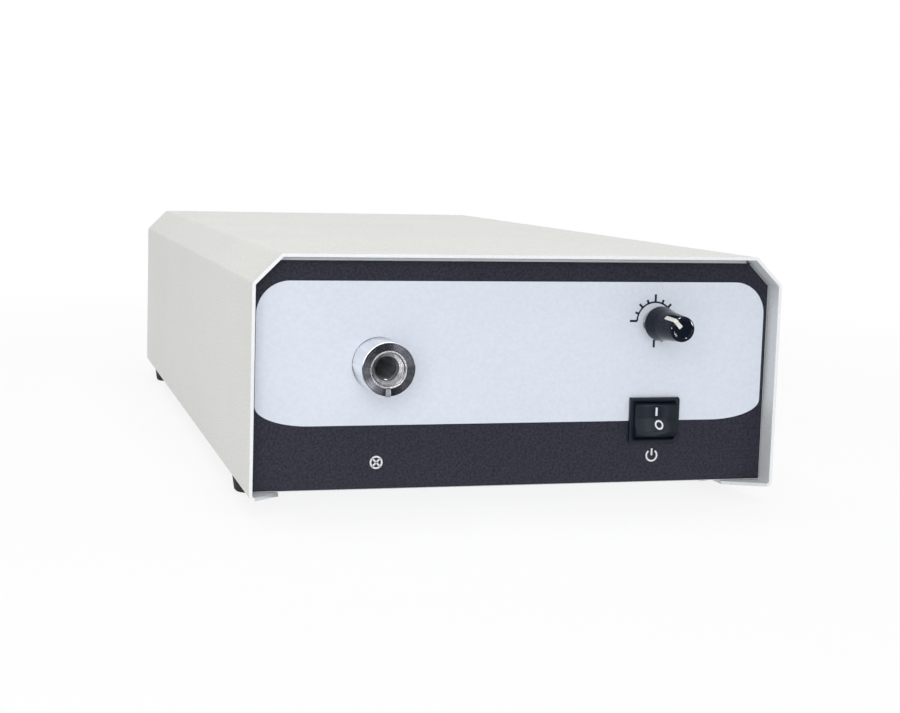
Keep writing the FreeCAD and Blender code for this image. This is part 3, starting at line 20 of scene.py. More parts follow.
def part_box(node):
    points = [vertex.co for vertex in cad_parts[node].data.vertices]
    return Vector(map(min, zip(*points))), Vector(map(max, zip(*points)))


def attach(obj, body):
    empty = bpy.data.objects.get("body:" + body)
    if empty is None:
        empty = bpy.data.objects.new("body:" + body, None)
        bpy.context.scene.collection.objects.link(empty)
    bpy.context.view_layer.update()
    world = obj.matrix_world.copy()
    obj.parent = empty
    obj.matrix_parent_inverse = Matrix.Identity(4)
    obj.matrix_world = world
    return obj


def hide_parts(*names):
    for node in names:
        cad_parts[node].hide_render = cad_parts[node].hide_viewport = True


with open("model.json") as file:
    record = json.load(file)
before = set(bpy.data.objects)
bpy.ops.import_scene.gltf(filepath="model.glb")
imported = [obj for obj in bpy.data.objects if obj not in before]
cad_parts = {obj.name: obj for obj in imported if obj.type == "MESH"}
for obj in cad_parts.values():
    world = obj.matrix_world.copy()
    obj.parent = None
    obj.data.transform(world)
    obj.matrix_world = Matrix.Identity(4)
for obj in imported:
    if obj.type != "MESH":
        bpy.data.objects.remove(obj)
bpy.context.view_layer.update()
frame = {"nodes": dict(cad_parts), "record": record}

nodes = frame["nodes"]


# %% [markdown]
# ## Camera
#
# A camera could be aimed with a Track To constraint, but a fixed matrix says exactly where it
# stands and how much it is tilted. Its three axes are worked out from a heading, a drop and a
# small roll. The lens is given by how many pixels one unit at a distance of one unit covers, and
# a small shift moves the optical axis off the middle of the frame, and the camera needn't turn.

# %% Camera
IMAGE_WIDTH = 900
IMAGE_HEIGHT = 713
SENSOR_WIDTH = 36.0
CLIP_START = 0.01

camera_place = Vector((-0.23268, -0.8666, 0.15881))
camera_heading = math.radians(13.134)
camera_drop = math.radians(5.93)
camera_roll = math.radians(1.332)
focal_pixels = 1529.6
optical_axis_pixel = (350.0, 315.0)

forward = Vector((
    math.sin(camera_heading) * math.cos(camera_drop),
    math.cos(camera_heading) * math.cos(camera_drop),
    -math.sin(camera_drop),
))
level_right = Vector((math.cos(camera_heading), -math.sin(camera_heading), 0))
level_up = level_right.cross(forward)
right = level_right * math.cos(camera_roll) + level_up * math.sin(camera_roll)
up = level_up * math.cos(camera_roll) - level_right * math.sin(camera_roll)
camera_axes = Matrix((right, up, -forward)).transposed()


def add_object(name, data):
    """Makes an object and puts it in the scene."""
    made = bpy.data.objects.new(name, data)
    bpy.context.collection.objects.link(made)
    return made


optics = bpy.data.cameras.new("camera")
optics.sensor_width = SENSOR_WIDTH
optics.lens = focal_pixels / IMAGE_WIDTH * SENSOR_WIDTH
optics.shift_x = (IMAGE_WIDTH / 2 - optical_axis_pixel[0]) / IMAGE_WIDTH
optics.shift_y = (optical_axis_pixel[1] - IMAGE_HEIGHT / 2) / IMAGE_WIDTH
optics.clip_start = CLIP_START
camera = add_object("camera", optics)
camera.matrix_world = Matrix.Translation(camera_place) @ camera_axes.to_4x4()
bpy.context.scene.camera = camera
shift = (round(optics.shift_x, 4), round(optics.shift_y, 4))
print("camera with a", round(optics.lens, 1), "mm lens, shifted by", shift)


# %% [markdown]
# ## Building with nodes
#
# Materials and Geometry Nodes are both trees of nodes. Instead of three lines for each node, one
# helper makes a node, sets its options, and fills or links its inputs. Short ones for the nodes that
# are used most are built on it, and the last one starts a group with named sockets, which is the
# unit that several materials can share.

# %% Node helpers
FLOAT = "NodeSocketFloat"
VECTOR = "NodeSocketVector"
COLOUR = "NodeSocketColor"


def link(source, target):
    """Joins an output of one node to an input of another in the same tree."""
    target.id_data.links.new(source, target)


def put(tree, kind, inputs=None, **options):
    """Adds a node. An input that is given a socket is linked, and any other value is set."""
    made = tree.nodes.new(kind)
    for option, value in options.items():
        setattr(made, option, value)
    for key, value in (inputs or {}).items():
        if isinstance(value, bpy.types.NodeSocket):
            link(value, made.inputs[key])
        else:
            made.inputs[key].default_value = value
    return made


print("helpers for nodes are ready")


# %% Maths helpers
def math_node(tree, operation, first, second=0.0, third=0.0):
    """Adds a Math node and returns its result."""
    return put(tree, "ShaderNodeMath", {0: first, 1: second, 2: third}, operation=operation).outputs[0]


def times(tree, first, second):
    """Adds a Math node that multiplies two numbers, and returns its result."""
    return math_node(tree, "MULTIPLY", first, second)


def vector_node(tree, operation, first, second=(0, 0, 0)):
    """Adds a Vector Math node and returns its vector."""
    return put(tree, "ShaderNodeVectorMath", {0: first, 1: second}, operation=operation).outputs[0]


def scaled(tree, vector, factor):
    """Adds a Vector Math node that multiplies a vector or a colour by a number."""
    inputs = {"Vector": vector, "Scale": factor}
    return put(tree, "ShaderNodeVectorMath", inputs, operation="SCALE").outputs[0]


def length_of(tree, vector):
    """Adds a Vector Math node that measures a vector."""
    return put(tree, "ShaderNodeVectorMath", {0: vector}, operation="LENGTH").outputs["Value"]


def combine(tree, x=0.0, y=0.0, z=0.0):
    """Adds a Combine XYZ node and returns its vector."""
    return put(tree, "ShaderNodeCombineXYZ", {"X": x, "Y": y, "Z": z}).outputs[0]


print("helpers for maths are ready")


# %% Pattern and group helpers
def noise(tree, place, scale, detail, distortion=0.0):
    """Adds a Noise Texture and returns its grey value, between 0 and 1."""
    inputs = {"Vector": place, "Scale": scale, "Detail": detail, "Distortion": distortion}
    return put(tree, "ShaderNodeTexNoise", inputs).outputs["Fac"]


def both_ways(tree, grey):
    """Turns a grey value between 0 and 1 into a swing between -1 and 1."""
    return math_node(tree, "MULTIPLY_ADD", grey, 2.0, -1.0)


def spread(tree, value, span, result=(0.0, 1.0), smooth=False):
    """Adds a Map Range node, which takes one span of numbers to another."""
    (low, high), (first, last) = span, result
    inputs = {"Value": value, "From Min": low, "From Max": high, "To Min": first, "To Max": last}
    curve = "SMOOTHSTEP" if smooth else "LINEAR"
    return put(tree, "ShaderNodeMapRange", inputs, interpolation_type=curve).outputs["Result"]


def new_group(name, inputs, outputs, kind="ShaderNodeTree"):
    """A node group with named sockets. The inputs are {name: (type, default)}, the outputs {name: type}."""
    tree = bpy.data.node_groups.new(name, kind)
    for socket, (socket_type, default) in inputs.items():
        made = tree.interface.new_socket(socket, in_out="INPUT", socket_type=socket_type)
        if default is not None:
            made.default_value = default
    for socket, socket_type in outputs.items():
        tree.interface.new_socket(socket, in_out="OUTPUT", socket_type=socket_type)
    return tree, tree.nodes.new("NodeGroupInput").outputs, tree.nodes.new("NodeGroupOutput").inputs


print("helpers for patterns and groups are ready")


# %% [markdown]
# ## Shared effects
#
# **Colour drift.** No paint or plastic is one flat colour: it is a little lighter here and a little
# darker there. A large soft noise that scales the colour by a few percent is enough.

# %% Colour drift group
tree, given, result = new_group(
    "colour drift",
    {
        "Vector": (VECTOR, None),
        "Colour": (COLOUR, (0.8, 0.8, 0.8, 1)),
        "Scale": (FLOAT, 12.0),
        "Amount": (FLOAT, 0.03),
    },
    {"Colour": COLOUR},
)
swing = both_ways(tree, noise(tree, given["Vector"], given["Scale"], 4.0))
factor = math_node(tree, "MULTIPLY_ADD", swing, given["Amount"], 1.0)
link(scaled(tree, given["Colour"], factor), result["Colour"])
colour_drift = tree
print("made", colour_drift.name)


# %% [markdown]
# **Grain.** Powder coat, textured film, moulded plastic and rubber all have a skin of small bumps.
# They differ in size and height. The tops of the bumps look a little lighter than the hollows, and
# some catch the light as flecks. One group gives the height of that skin, the same height as a
# swing between -1 and 1 for the colour, and a mask for the flecks.

# %% Grain group
FINER = 2.7
FINE_HEIGHT = 0.35
HEIGHT_SPAN = (0.45, 0.90)
FLECK_START = 0.78
FLECK_FULL = 0.8

tree, given, result = new_group(
    "grain",
    {"Vector": (VECTOR, None), "Size": (FLOAT, 0.001), "Fleck Share": (FLOAT, 0.1)},
    {"Height": FLOAT, "Swing": FLOAT, "Flecks": FLOAT},
)
per_metre = math_node(tree, "DIVIDE", 1.0, given["Size"])
coarse = noise(tree, given["Vector"], per_metre, 2.0)
fine = noise(tree, given["Vector"], times(tree, per_metre, FINER), 1.0)
height = math_node(tree, "MULTIPLY_ADD", fine, FINE_HEIGHT, coarse)
start = math_node(tree, "SUBTRACT", FLECK_START, given["Fleck Share"])
link(height, result["Height"])
link(spread(tree, height, HEIGHT_SPAN, (-1.0, 1.0)), result["Swing"])
link(spread(tree, fine, (start, FLECK_FULL), smooth=True), result["Flecks"])
grain = tree
print("made", grain.name)


# %% [markdown]
# **Brushed lines.** Rolled and brushed metal has fine parallel lines. A noise becomes lines when its
# coordinates are squeezed across them, so the group takes a stretch for each axis.

# %% Brushed lines group
tree, given, result = new_group(
    "brushed lines",
    {"Vector": (VECTOR, None), "Stretch": (VECTOR, (1, 1, 30)), "Scale": (FLOAT, 60.0)},
    {"Lines": FLOAT},
)
squeezed = vector_node(tree, "MULTIPLY", given["Vector"], given["Stretch"])
link(noise(tree, squeezed, given["Scale"], 3.0), result["Lines"])
brushed_lines = tree
print("made", brushed_lines.name)


# %% [markdown]
# ** Turned rings.** A lathe leaves rings round the axis. The distance from the axis feeds a
# one-dimensional noise, so the rings are uneven in width, as tool marks are. The direction from the
# axis feeds a second noise, for the wedges of painted highlight that such a face shows in its
# reflections.

# %% Turned rings group
HIGHLIGHT_WEDGE_SCALE = 2.4

tree, given, result = new_group(
    "turned rings",
    {"Vector": (VECTOR, None), "Centre": (VECTOR, (0, 0, 0)), "Pitch": (FLOAT, 0.0002)},
    {"Rings": FLOAT, "Highlight Wedges": FLOAT},
)
offset = vector_node(tree, "SUBTRACT", given["Vector"], given["Centre"])
flat = vector_node(tree, "MULTIPLY", offset, (1, 0, 1))
turns = math_node(tree, "DIVIDE", length_of(tree, flat), given["Pitch"])
rings = put(tree, "ShaderNodeTexNoise", {"W": turns, "Scale": 1.0, "Detail": 2.0}, noise_dimensions="1D")
outward = vector_node(tree, "NORMALIZE", flat)
link(rings.outputs["Fac"], result["Rings"])
link(noise(tree, outward, HIGHLIGHT_WEDGE_SCALE, 3.0), result["Highlight Wedges"])
turned_rings = tree
print("made", turned_rings.name)


# %% [markdown]
# **Handling.** A thing that has been on a bench has faint smears. They change how sharp a reflection
# is and hardly change the colour, so this group gives only a roughness.

# %% Handling group
SMEAR_DISTORTION = 0.6

tree, given, result = new_group(
    "handling",
    {
        "Vector": (VECTOR, None),
        "Roughness": (FLOAT, 0.4),
        "Smears": (FLOAT, 0.08),
        "Scale": (FLOAT, 25.0),
    },
    {"Roughness": FLOAT},
)
smear = noise(tree, given["Vector"], given["Scale"], 5.0, SMEAR_DISTORTION)
roughness = math_node(tree, "MULTIPLY_ADD", both_ways(tree, smear), given["Smears"], given["Roughness"])
link(roughness, result["Roughness"])
handling = tree
print("made", handling.name)


# %% [markdown]
# ## Finishes
#
# Each finish is one material named after what it is. The shader stays in the material, and the
# groups above feed its colour, roughness and bump. What is the same all over the surface, such as a
# coat, is set on the shader's own socket.

# %% Finish helpers
SMEAR_SHARE = 0.2
BUMP_STRENGTH = 0.5

finishes = {}


def use(tree, group, inputs):
    """Places a shared group in a material, fills its inputs and returns its outputs."""
    return put(tree, "ShaderNodeGroup", inputs, node_tree=group).outputs


def start_finish(name, colour, roughness, metallic=0.0, drift=0.03, **sockets):
    """A material whose colour drifts a little and whose gloss shows handling."""
    material = bpy.data.materials.new(name)
    material.use_nodes = True
    finishes[name] = material
    tree = material.node_tree
    shader = tree.nodes["Principled BSDF"]
    shader.inputs["Metallic"].default_value = metallic
    for socket, value in sockets.items():
        shader.inputs[socket.replace("_", " ")].default_value = value
    place = put(tree, "ShaderNodeTexCoord").outputs["Object"]
    paint = use(tree, colour_drift, {"Vector": place, "Colour": (*colour, 1), "Amount": drift})
    gloss = use(tree, handling, {"Vector": place, "Roughness": roughness, "Smears": SMEAR_SHARE * roughness})
    link(paint["Colour"], shader.inputs["Base Color"])
    link(gloss["Roughness"], shader.inputs["Roughness"])
    return tree, shader, place


def raise_bumps(tree, shader, height, depth):
    """Feeds a height into the shader's normal. Depth is how far full height stands out."""
    bump = put(tree, "ShaderNodeBump", {"Height": height, "Distance": depth, "Strength": BUMP_STRENGTH})
    link(bump.outputs["Normal"], shader.inputs["Normal"])


def colour_so_far(shader):
    """The socket that feeds the shader's colour."""
    return shader.inputs["Base Color"].links[0].from_socket


def lighten(tree, shader, factor):
    """Multiplies the shader's colour by a number that changes over the surface."""
    link(scaled(tree, colour_so_far(shader), factor), shader.inputs["Base Color"])


print("helpers for finishes are ready")


# %% Kinds of finish
FLECK_SHARE = 0.12
LINE_DEPTH = 0.00001
GLASS_ROUGHNESS = 0.03
GLASS_IOR = 1.47


def grained(name, colour, roughness, size, depth, mottle=0.03, flecks=0.0, fleck_colour=(1, 1, 1), **sockets):
    """Painted, moulded or filmed surfaces: a mottled colour, a skin of bumps and light flecks."""
    tree, shader, place = start_finish(name, colour, roughness, **sockets)
    skin = use(tree, grain, {"Vector": place, "Size": size, "Fleck Share": FLECK_SHARE})
    raise_bumps(tree, shader, skin["Height"], depth)
    lighten(tree, shader, math_node(tree, "MULTIPLY_ADD", skin["Swing"], mottle, 1.0))
    if flecks:
        amount = times(tree, skin["Flecks"], flecks)
        inputs = {0: amount, 6: colour_so_far(shader), 7: (*fleck_colour, 1)}
        mixed = put(tree, "ShaderNodeMix", inputs, data_type="RGBA")
        link(mixed.outputs[2], shader.inputs["Base Color"])


def brushed(name, colour, roughness, stretch, scale=60.0):
    """Rolled or drawn metal, with fine lines along it."""
    tree, shader, place = start_finish(name, colour, roughness, metallic=1.0)
    lines = use(tree, brushed_lines, {"Vector": place, "Stretch": stretch, "Scale": scale})
    raise_bumps(tree, shader, lines["Lines"], LINE_DEPTH)


def clear(name, colour):
    """Glass and clear plastic, with a faint haze from its handling."""
    start_finish(name, colour, GLASS_ROUGHNESS, drift=0.01, Transmission_Weight=1.0, IOR=GLASS_IOR)


print("grained, brushed and clear finishes can be made")


# %% [markdown]
# **Powder coat.** The cover and the panel's folded lip are sprayed with powder that melts into a fine
# orange peel. It is a dielectric, so it is never metallic. The bumps are under a millimetre wide
# and a few hundredths deep: larger ones would make the case look like plaster.

# %% Painted sheet
COVER_GREY = (0.745, 0.735, 0.705)
PANEL_WHITE = (0.76, 0.79, 0.80)
EDGE_HIGHLIGHT_WHITE = (0.87, 0.88, 0.89)
INSIDE_SHADE_GREY = (0.69, 0.71, 0.72)

# Each line gives the name, colour, roughness, size of the grain, depth of the bumps and mottle.
grained("powder_coat", COVER_GREY, 0.46, 0.0009, 0.00007, 0.12, drift=0.05)
grained("panel_paint", PANEL_WHITE, 0.40, 0.0009, 0.00003)
# The cut edge's white is a painted highlight.
grained("cut_edge_highlight", EDGE_HIGHLIGHT_WHITE, 0.35, 0.0009, 0.00002)
# The inside's darker, bluer grey is painted shade.
grained("cover_inside_shade", INSIDE_SHADE_GREY, 0.5, 0.0009, 0.00005, 0.07)
print("painted sheet:", *finishes)


# %% [markdown]
# **Label film.** The front is covered by one printed film. Its charcoal ink has a coarse grain with
# tiny light flecks and a hint of violet, and its white field is smooth and cool. The inks are
# separate finishes, because the white field is a piece of its own.

# %% Label inks
CHARCOAL = (0.021, 0.0215, 0.036)
CHARCOAL_FLECK = (0.12, 0.12, 0.20)
FIELD_WHITE = (0.73, 0.78, 0.865)
DIAL_INK = (0.010, 0.013, 0.036)
MARK_WHITE = (0.80, 0.81, 0.83)

# After the mottle come the strength of the flecks and their colour.
grained("label_film", CHARCOAL, 0.5, 0.0011, 0.00012, 0.55, 0.5, CHARCOAL_FLECK, Specular_IOR_Level=0.3)
grained("field_ink", FIELD_WHITE, 0.33, 0.0016, 0.00001)
grained("dial_ink", DIAL_INK, 0.4, 0.0008, 0.00001)
grained("mark_ink", MARK_WHITE, 0.4, 0.0008, 0.00001)
print("with the label inks there are", len(finishes), "finishes")


# %% [markdown]
# ** Turned steel.** The port's side and mouth are polished. Its flat front ring is left as the lathe
# made it: reflections are smeared across the tool marks, into wedges that point at the axis. An
# anisotropic shader does this when its tangent runs along the rings, and a shallow bump of uneven
# rings breaks the reflection up. The colour is also made lighter and darker in wedges round the axis,
# which is a painted highlight. The front ring's darker, bluer colour is a painted reflection of a dark
# room, and the darker bands among the rings are a painted reflection too. The mouth is ringed, its
# brighter colour is a painted highlight, and the bore behind it is dull.

# %% Turned metal
HIGHLIGHT_WEDGE_SPAN = (0.35, 0.65)
REFLECTION_BAND_SPAN = (0.4, 0.6)


def turned_metal(name, colour, roughness, centre, pitch, depth, anisotropy=0.0, contrast=0.15, bands=0.0):
    """Lathe work: rings of a pitch and depth, wedges of a contrast as a painted highlight, and darker bands
    among the rings as a painted reflection.
    """
    tree, shader, place = start_finish(name, colour, roughness, metallic=1.0, Anisotropic=anisotropy)
    marks = use(tree, turned_rings, {"Vector": place, "Centre": centre, "Pitch": pitch})
    raise_bumps(tree, shader, marks["Rings"], depth)
    if anisotropy:
        spoke = vector_node(tree, "SUBTRACT", place, centre)
        link(vector_node(tree, "CROSS_PRODUCT", spoke, (0, 1, 0)), shader.inputs["Tangent"])
    # Lighter and darker wedges round the axis are painted into the colour: a painted highlight.
    shade = spread(tree, marks["Highlight Wedges"], HIGHLIGHT_WEDGE_SPAN, (1 - contrast, 1 + contrast))
    # Darker bands among the rings are painted into the colour: a painted reflection.
    band = spread(tree, marks["Rings"], REFLECTION_BAND_SPAN, (1 - bands, 1.0))
    lighten(tree, shader, times(tree, shade, band))


def middle_of(node):
    low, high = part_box(node)
    return tuple((low + high) / 2)


POLISHED = (0.84, 0.85, 0.88)
FACE_REFLECTION_GREY = (0.64, 0.66, 0.78)
MOUTH_HIGHLIGHT_BRIGHT = (0.93, 0.93, 0.95)
BORE_GREY = (0.78, 0.79, 0.82)

port_axis = middle_of("port_body")
turned_metal("port_steel", POLISHED, 0.13, port_axis, 0.0004, 0.000004)
# The front ring's darker, bluer colour is a painted reflection of a dark room.
turned_metal("port_face_reflection_steel", FACE_REFLECTION_GREY, 0.25, port_axis, 0.0005, 0.00001, 0.85, 0.4, 0.25)
# The mouth's brighter colour is a painted highlight.
turned_metal("mouth_highlight_steel", MOUTH_HIGHLIGHT_BRIGHT, 0.24, port_axis, 0.0006, 0.0004, bands=0.5)
turned_metal("bore_steel", BORE_GREY, 0.45, port_axis, 0.00025, 0.00001)
# The ball wears the mouth's brighter colour, a painted highlight.
turned_metal("ball_steel", MOUTH_HIGHLIGHT_BRIGHT, 0.30, middle_of("detent_ball"), 0.0005, 0.000002)
print("with the turned metal there are", len(finishes), "finishes")


# %% [markdown]
# **Sheet, screws and springs.** Zinc plating is a soft grey metal with faint lines from the rolling
# mill. Screws are a little shinier, and springs are darker drawn wire.

# %% Plated and plain metals
ALONG_Y = (30, 1, 30)
ALONG_Z = (30, 30, 1)

# Each line gives the name, colour, roughness and stretch, and some the scale of the lines.
brushed("zinc_sheet", (0.58, 0.60, 0.62), 0.38, ALONG_Y)
brushed("screw_steel", (0.55, 0.56, 0.58), 0.30, ALONG_Y, 90.0)
brushed("spring_steel", (0.33, 0.33, 0.35), 0.35, ALONG_Z)
brushed("aluminium", (0.66, 0.67, 0.69), 0.34, ALONG_Z)
brushed("tab_brass", (0.70, 0.62, 0.42), 0.32, ALONG_Y)
brushed("fuse_metal", (0.68, 0.68, 0.70), 0.18, ALONG_Y)
print("with the plain metals there are", len(finishes), "finishes")


# %% [markdown]
# **Plastics and rubber.** The knob is glossy and the switch satin, and both are near black with a blue
# cast. A low roughness gives the knob its small sharp highlights. Rubber is dull and dusty.

# %% Moulded plastics
KNOB_BLACK = (0.007, 0.010, 0.019)
SWITCH_BLACK = (0.013, 0.019, 0.029)

grained("knob_plastic", KNOB_BLACK, 0.08, 0.002, 0.00001, Specular_IOR_Level=0.09)
grained("pointer_plastic", (0.74, 0.73, 0.68), 0.4, 0.001, 0.00001)
grained("switch_plastic", SWITCH_BLACK, 0.32, 0.0006, 0.00002, Specular_IOR_Level=0.25)
grained("foot_rubber", (0.012, 0.012, 0.013), 0.75, 0.0007, 0.00005)
grained("fan_plastic", (0.014, 0.014, 0.016), 0.5, 0.0005, 0.00003)
grained("inlet_plastic", (0.013, 0.013, 0.014), 0.38, 0.0005, 0.00003)
grained("black_epoxy", (0.015, 0.015, 0.015), 0.6, 0.0004, 0.00002)
grained("capacitor_skin", (0.03, 0.05, 0.16), 0.3, 0.001, 0.00001)
grained("terminal_plastic", (0.03, 0.20, 0.06), 0.4, 0.0006, 0.00002)
print("with the plastics there are", len(finishes), "finishes")


# %% [markdown]
# **Ceramics, tape and board.** These are inside, and show through the grille and the slots.

# %% Inside finishes
grained("ceramic", (0.80, 0.77, 0.69), 0.7, 0.0005, 0.00003)
grained("ferrite", (0.05, 0.05, 0.05), 0.7, 0.0004, 0.00003)
grained("board_laminate", (0.012, 0.13, 0.045), 0.35, 0.0008, 0.00001, Coat_Weight=0.3)
grained("toroid_tape", (0.62, 0.37, 0.05), 0.28, 0.003, 0.00002, Coat_Weight=0.4)
grained("wire_pvc", (0.30, 0.06, 0.03), 0.4, 0.001, 0.00001)
clear("quartz", (0.97, 0.97, 0.97))
clear("fuse_glass", (0.97, 0.97, 0.97))
clear("heat_glass", (0.80, 0.95, 0.88))
brushed("mirror_glass", (0.55, 0.60, 0.72), 0.15, (1, 1, 1), 20.0)
print("all", len(finishes), "finishes are ready")


# %% [markdown]
# ## Finishes on the frame
#
# The record gives each node a material slot, and each finish has the name of its slot, so one loop
# can dress every node. The nodes keep their meshes: only the material slots of their objects change.

# %% Dress the nodes
slot_of = {part["node"]: part["material_slot"] for part in frame["record"]["subparts"]}
for name, obj in nodes.items():
    obj.data.materials.clear()
    obj.data.materials.append(finishes[slot_of[name]])
print("dressed", len(nodes), "nodes in", len(set(slot_of.values())), "finishes")


# %% [markdown]
# ## Smooth copies
#
# The frame's meshes are made of small flat facets, and on a polished round piece each facet shows in
# the reflection. A copy with its doubles merged can be shaded smooth, while edges sharper than a
# given angle stay sharp. A Weighted Normal modifier then makes large flat faces really flat, so that
# no facet shows in them. The shape is the same, so the copy simply stands for its node.

# %% Piece helpers
MERGE_DISTANCE = 0.000002


def merged_shape(node):
    """A node's shape to work on, whose facets share their corners."""
    shape = bmesh.new()
    shape.from_mesh(nodes[node].data)
    bmesh.ops.remove_doubles(shape, verts=shape.verts, dist=MERGE_DISTANCE)
    return shape


def mesh_from(shape, name):
    """Turns a shape that was worked on into a mesh."""
    mesh = bpy.data.meshes.new(name)
    shape.to_mesh(mesh)
    shape.free()
    return mesh


def keep_result(piece):
    """Gives a piece the mesh that its modifier makes, and removes the modifier."""
    evaluated = piece.evaluated_get(bpy.context.evaluated_depsgraph_get())
    plain = bpy.data.meshes.new_from_object(evaluated)
    piece.modifiers.clear()
    piece.data = plain


def finish_piece(piece, finish, body):
    """Dresses a piece in a finish, and makes it ride on a body."""
    piece.data.materials.clear()
    piece.data.materials.append(finishes[finish])
    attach(piece, body)
    print(piece.name, "has", len(piece.data.polygons), "faces and rides on", body)


print("helpers for pieces are ready")


# %% Smooth copies
SHARP_ANGLE = math.radians(32)
FLATTENING = 90
SMOOTHED = [
    "wrap_cover", "port_body", "port_sleeve", "detent_ball", "dimmer_knob", "knob_pointer",
    "switch_housing", "pot_washer", "feet", "fan_rotor", "fan_frame", "inlet_body", "fuse_drawer",
]
body_of = {node: body for body, owned in frame["record"]["behaviour"]["bodies"].items() for node in owned}


def smooth_copy(node, sharp_angle=SHARP_ANGLE, flatten=True):
    """A smooth copy that stands for its node. If it is flattened, large faces decide the normals."""
    piece = add_object(node + "_smooth", mesh_from(merged_shape(node), node + "_smooth"))
    piece.data.shade_smooth()
    piece.data.set_sharp_from_angle(angle=sharp_angle)
    if flatten:
        weighting = piece.modifiers.new("weighting", "WEIGHTED_NORMAL")
        weighting.keep_sharp = True
        weighting.weight = FLATTENING
        keep_result(piece)
    finish_piece(piece, slot_of[node], body_of[node])
    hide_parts(node)
    return piece


smooth_pieces = {node: smooth_copy(node) for node in SMOOTHED}
print("smoothed", len(smooth_pieces), "pieces")


# %% [markdown]
# **The rocker's valley.** The rocker's two faces run into each other in a soft hollow, with no crease.
# A larger sharp angle smooths the valley between them and keeps the rocker's rim sharp. Its faces
# aren't flattened, so the light changes little by little from one end to the other.

# %% Rocker
ROCKER_SHARP_ANGLE = math.radians(40)

smooth_pieces["switch_rocker"] = smooth_copy("switch_rocker", ROCKER_SHARP_ANGLE, flatten=False)
print("the rocker is smooth up to", round(math.degrees(ROCKER_SHARP_ANGLE)), "degrees")


# %% [markdown]
# ** Two finishes on one piece.** The port's front ring, its mouth and its bore have finishes of their
# own. So have the cover's cut front edge, whose white is a painted highlight, and its inside, whose
# darker grey is painted shade. A mesh can have several material slots, and each face says which one
# it wears, so a test on a face's middle and normal picks the faces.

# %% Zones
BORE_RADIUS = 0.0055
MOUTH_RADIUS = 0.0082
MOUTH_DEPTH = 0.0045
KEY_REACH = 0.0006
EDGE_REACH = 0.0002
AXIS_HEIGHT = 0.06
FACES_FRONT = -0.99
FACES_SIDE = 0.1

port_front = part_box("port_body")[0].y
cover_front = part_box("wrap_cover")[0].y


def from_axis(face):
    """How far the middle of a face is from the port's axis."""
    return math.hypot(face.center.x - port_axis[0], face.center.z - port_axis[2])


def on_port_ring(face):
    return face.normal.y < FACES_FRONT and face.center.y < port_front + KEY_REACH


def in_mouth(face):
    return face.center.y < port_front + MOUTH_DEPTH


def in_port_mouth(face):
    return in_mouth(face) and from_axis(face) < MOUTH_RADIUS


def in_bore(face):
    return abs(face.normal.y) < FACES_SIDE and from_axis(face) < BORE_RADIUS


def inside_cover(face):
    return face.normal.x * face.center.x + face.normal.z * (face.center.z - AXIS_HEIGHT) < 0


def on_front_edge(face):
    return face.normal.y < FACES_FRONT and face.center.y < cover_front + EDGE_REACH


print("the port's front is at y =", round(port_front, 4), "and the cover's at y =", round(cover_front, 4))


# %% Second finishes
def lay_finish(node, finish, chosen):
    """Gives a smooth copy a second finish on the faces that a test picks."""
    mesh = smooth_pieces[node].data
    mesh.materials.append(finishes[finish])
    picked = [face for face in mesh.polygons if chosen(face)]
    for face in picked:
        face.material_index = len(mesh.materials) - 1
    print(node, "wears", finish, "on", len(picked), "faces")


# The front ring's darker, bluer colour is a painted reflection of a dark room.
lay_finish("port_body", "port_face_reflection_steel", on_port_ring)
# The mouth's brighter colour is a painted highlight.
lay_finish("port_body", "mouth_highlight_steel", in_port_mouth)
lay_finish("port_sleeve", "mouth_highlight_steel", in_mouth)
lay_finish("port_sleeve", "bore_steel", in_bore)
# The inside's darker, bluer grey is painted shade.
lay_finish("wrap_cover", "cover_inside_shade", inside_cover)
# The cut edge's white is a painted highlight.
lay_finish("wrap_cover", "cut_edge_highlight", on_front_edge)


# %% [markdown]
# ## Flat prints
#
# A print is a thin sheet with an exact outline. A filled two-dimensional curve turns outlines,
# with holes where one lies inside another, into clean faces, and its extrude gives them a
# thickness. The curve is made a mesh before it is turned upright, so that the piece's object stays
# at the origin.

# %% Outline helpers
ROUND_STEPS = 96
CORNER_STEPS = 16


def on_ellipse(centre, wide, tall, turns):
    """The points of an ellipse at the given angles."""
    return [(centre[0] + wide * math.cos(a), centre[1] + tall * math.sin(a)) for a in turns]


def round_points(centre, radius):
    """Points round a circle."""
    turns = [math.tau * step / ROUND_STEPS for step in range(ROUND_STEPS)]
    return on_ellipse(centre, radius, radius, turns)


def corner_points(centre, size, start):
    """Points round a quarter of an ellipse, from a start angle in quarter turns."""
    turns = [math.pi / 2 * (start + step / CORNER_STEPS) for step in range(CORNER_STEPS + 1)]
    return on_ellipse(centre, *size, turns)


def box_points(centre, width, height, angle=0.0):
    """The corners of a rectangle, turned by an angle about its centre."""
    cosine, sine = math.cos(angle), math.sin(angle)
    x, z = width / 2, height / 2
    corners = [(-x, -z), (x, -z), (x, z), (-x, z)]
    return [(centre[0] + x * cosine - z * sine, centre[1] + x * sine + z * cosine) for x, z in corners]


print("helpers for outlines are ready")


# %% Print helper
PRINT_MERGE = 0.000001
UPRIGHT = Matrix.Rotation(math.radians(90), 4, "X")


